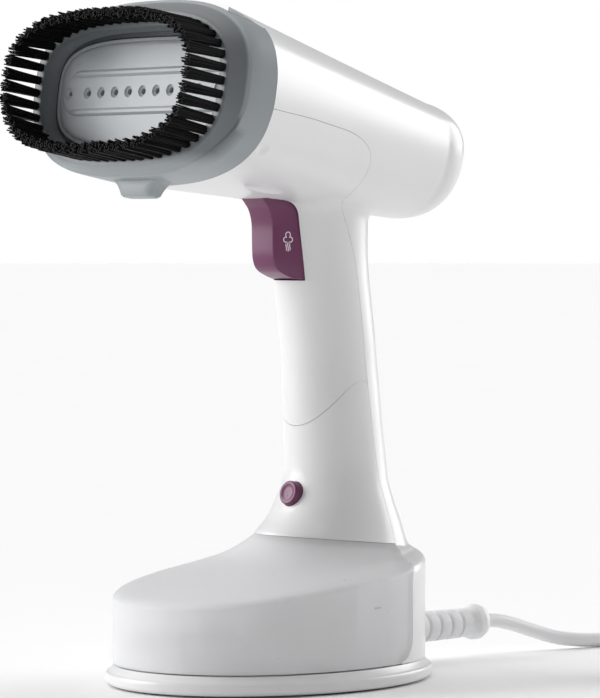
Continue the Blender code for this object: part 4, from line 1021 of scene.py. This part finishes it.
class STEAMER_OT_plate(bpy.types.Operator):
    """Make the steam plate with its stepped border, ridges and countersunk holes"""

    bl_idname = "steamer.plate"
    bl_label = "Steam plate"

    def execute(self, context):
        border = [(9.0, 57.6, 27.0, 28.5, 3.2), (6.9, 57.6, 27.0, 28.5, 3.2), (6.9, 55.6, 21.8, 25.4, 3.4),
                  (3.0, 55.6, 21.8, 25.4, 3.4), (2.3, 55.2, 21.4, 25.0, 3.4), (2.2, 54.4, 20.6, 24.2, 3.4),
                  (2.5, 54.0, 20.2, 23.8, 3.4), (3.2, 53.8, 20.0, 23.6, 3.4), (3.2, 52.4, 18.6, 22.2, 3.4)]
        plate = make_object("steam_face", *skin([head_ring(*row) for row in border]))
        x = np.linspace(-54, 54, 260)
        v = [np.linspace(-23.8, 20.2, 66), np.linspace(-11.2, -7.8, 25), np.linspace(5.4, 8.8, 25)]
        v = np.unique(np.round(np.concatenate(v), 3))
        xx, vv = np.meshgrid(x, v)
        half = np.where(vv > 0, 19.6, 23.2)
        radius = ((np.abs(xx) / 53.4) ** 3.4 + (np.abs(vv) / half) ** 3.4) ** (1 / 3.4)
        edge = np.clip((1 - radius) * 21 / 0.9, 0, 1)
        top = 2.45 - 0.45 * np.sqrt(1 - (1 - edge) ** 2) - plate_relief(xx, vv)
        grid = np.stack([np.stack([xx, top, vv], -1).reshape(-1, 3),
                         np.stack([xx, np.full_like(xx, 8.0), vv], -1).reshape(-1, 3)])
        rows, columns = xx.shape
        sheet = quads(rows, columns, False, False)
        under = sheet[:, ::-1] + rows * columns
        loop = np.concatenate([np.arange(columns), np.arange(1, rows) * columns + columns - 1,
                               (rows - 1) * columns + np.arange(columns - 2, -1, -1),
                               np.arange(rows - 2, 0, -1) * columns])
        following = np.roll(loop, -1)
        wall = np.stack([loop, following, following + rows * columns, loop + rows * columns], -1)
        faces = np.vstack([sheet, under, wall]).tolist()
        panel = make_object("panel", from_head(grid.reshape(-1, 3)), faces)
        turn = np.linspace(0, 2 * pi, 160, endpoint=False)
        keep(panel, head_prism(np.column_stack(oval(turn, 53.4, 19.6, 23.2, 3.4)), "Y", -2, 7.0))
        combine(plate, panel, "UNION")
        h = np.array(sizes().head_front) / MM
        a = sizes().head_tilt
        rearwards = (0.0, cos(a), -sin(a))
        for across in [-END_HOLE, *(HOLE_PITCH * np.arange(-4, 5)), END_HOLE]:
            bore = 0.9 if abs(across) > 47 else 1.3
            sink = [(-2, 4.4), (2.0, 2.45), (2.45, 2.2), (2.9, bore), (12, bore)]
            middle = h + (across, HOLE_LEVEL * sin(a), HOLE_LEVEL * cos(a))
            cut(plate, make_object("sink", *turned(sink, middle, rearwards, 32)))
        soften(plate, 35)
        settle(plate, "casing", ("steam_plate",), finish_of("plate_grey"))
        return {"FINISHED"}


# ---- controls ---------------------------------------------------------------------------------------------
# Sections of the trigger from the top: Y and Z of the front edge, then of the back edge
TRIGGER = (
    (-11.0, 208.3, 15.0, 208.0), (-8.6, 205.6, 14.8, 205.2), (-7.0, 203.6, 14.6, 203.0),
    (-5.5, 200.0, 14.5, 200.0), (-4.8, 196.0, 14.5, 197.0), (-4.5, 184.0, 14.5, 185.0),
    (-3.5, 179.6, 14.5, 180.2), (-1.4, 177.0, 14.5, 177.4), (2.0, 175.2, 14.5, 175.4),
    (6.6, 173.6, 14.5, 173.6), (10.5, 172.95, 14.5, 172.95),
)


class STEAMER_OT_trigger(bpy.types.Operator):
    """Make the finger trigger with its facets and the steam mark on each side"""

    bl_idname = "steamer.trigger"
    bl_label = "Trigger"

    def execute(self, context):
        rings = []
        for y, z, back_y, back_z in fill_table(TRIGGER, 5):
            f, b = np.array([y, z]), np.array([back_y, back_z])
            side = f + (b - f) * min(max((9.5 - f[0]) / max(b[0] - f[0], 0.1), 0.1), 0.9)
            half = [(0, *b), (9.75, *b), (9.75, *side), (7.0, *f)]
            rings.append(rounded([*half, *((-x, *at) for x, *at in reversed(half))], 0.7, 5)[:-1])
        trigger = make_object("finger_trigger", *skin(rings), sharp=38)
        combine(trigger, block((-5, 8.0, 206.5), (5, 16.4, 215.9)), "UNION")
        cut(trigger, block((-2.7, 5.0, 208.5), (2.7, 21.0, 220.5)))
        drill(trigger, -12, 12, 1.6, (0, 13.0, 212.5), (1, 0, 0), 24)
        soften(trigger, 38)
        settle(trigger, "trigger", ("trigger",), finish_of("violet"))

        # the mark: a puff of three arcs over three short strokes, as flat bands on the side facets
        def arc(cy, cz, radius, start, end):
            t = np.radians(np.linspace(start, end, 17))
            return np.column_stack([cy + radius * np.cos(t), cz + radius * np.sin(t)])

        lines = [arc(2.6, 192.4, 1.15, -40, 220), arc(1.5, 190.3, 1.1, 60, 300),
                 arc(3.7, 190.3, 1.1, -120, 120),
                 np.array([(1.7, 188.6), (1.5, 187.6), (1.9, 186.6), (1.7, 185.6)]),
                 np.array([(2.6, 189.2), (2.4, 187.8), (2.8, 186.6), (2.6, 185.2)]),
                 np.array([(3.5, 188.6), (3.3, 187.6), (3.7, 186.6), (3.5, 185.6)])]
        for side, name in ((1, "steam_mark_right"), (-1, "steam_mark_left")):
            points, faces = [], []
            for line in lines:
                ahead = np.gradient(line, axis=0)
                across = np.column_stack([-ahead[:, 1], ahead[:, 0]])
                across = across / np.linalg.norm(ahead, axis=1)[:, None]
                band = []
                for shift, lift in ((-0.2, -0.1), (0.2, -0.1), (0.2, 0.07), (-0.2, 0.07)):
                    flat = line + shift * across
                    x = 7.0 + 2.75 * (flat[:, 0] + 4.65) / 14.15 + lift
                    band.append(np.column_stack([side * x, flat]))
                band = np.stack(band, 1)
                start = len(points)
                more, sides = skin(band)
                points.extend(more.tolist())
                faces.extend([[i + start for i in face] for face in sides])
            mark = make_object(name, points, faces)
            settle(mark, "trigger", (), finish_of("mark_white"))
        return {"FINISHED"}


class STEAMER_OT_button(bpy.types.Operator):
    """Make the dished power button with its engraved stroke"""

    bl_idname = "steamer.button"
    bl_label = "Power button"

    def execute(self, context):
        profile = rounded([(-9.2, 6.8), (-8.0, 6.8), (-8.0, 5.4), (-0.5, 5.4), (0.1, 4.9), (0.15, 4.2),
                           (-0.35, 2.6), (-0.45, 0.1)], 0.5, 4)
        button = make_object("start_button", *turned(profile, BUTTON_AT, BUTTON_AXIS))
        stroke = block((-0.22, 3.0, 78.9), (0.22, 10.34, 82.3))
        cut(button, stroke)
        soften(button, 35)
        settle(button, "power_button", ("power_button",), finish_of("violet"))
        return {"FINISHED"}


class STEAMER_OT_finishes(bpy.types.Operator):
    """Give every carried-over part the finish of its slot"""

    bl_idname = "steamer.finishes"
    bl_label = "Inner finishes"

    def execute(self, context):
        for part in frame["record"]["subparts"]:
            node = frame["nodes"][part["node"]]
            node.data.materials.clear()
            node.data.materials.append(finish_of(SLOT_FINISH[part["material_slot"]]))
        return {"FINISHED"}


class STEAMER_PT_sidebar(bpy.types.Panel):
    """The steamer's sizes, colours and pieces"""

    bl_idname = "STEAMER_PT_sidebar"
    bl_label = "Garment Steamer"
    bl_space_type = "VIEW_3D"
    bl_region_type = "UI"
    bl_category = "Steamer"

    def draw(self, context):
        for settings in (sizes(), colours()):
            box = self.layout.box()
            for name in settings.bl_rna.properties.keys():
                if name not in ("rna_type", "name"):
                    box.prop(settings, name)
        for item in PIECES:
            self.layout.operator(item.bl_idname)


PIECES = (STEAMER_OT_stage, STEAMER_OT_cord, STEAMER_OT_casings, STEAMER_OT_tank, STEAMER_OT_base,
          STEAMER_OT_sleeve, STEAMER_OT_brush, STEAMER_OT_bristles, STEAMER_OT_plate, STEAMER_OT_trigger,
          STEAMER_OT_button, STEAMER_OT_finishes)
CLASSES = (SteamerSizes, SteamerColours, *PIECES, STEAMER_PT_sidebar)


def register():
    """Adds the classes and the two settings groups to Blender."""
    for item in CLASSES:
        bpy.utils.register_class(item)
    bpy.types.Scene.steamer_sizes = bpy.props.PointerProperty(type=SteamerSizes)
    bpy.types.Scene.steamer_colours = bpy.props.PointerProperty(type=SteamerColours)


def unregister():
    """Takes them away again."""
    del bpy.types.Scene.steamer_colours
    del bpy.types.Scene.steamer_sizes
    for item in reversed(CLASSES):
        bpy.utils.unregister_class(item)


def main():
    """Registers the add-on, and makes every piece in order."""
    register()
    for item in PIECES:
        group, name = item.bl_idname.split(".")
        getattr(getattr(bpy.ops, group), name)()


if __name__ == "__main__":
    main()
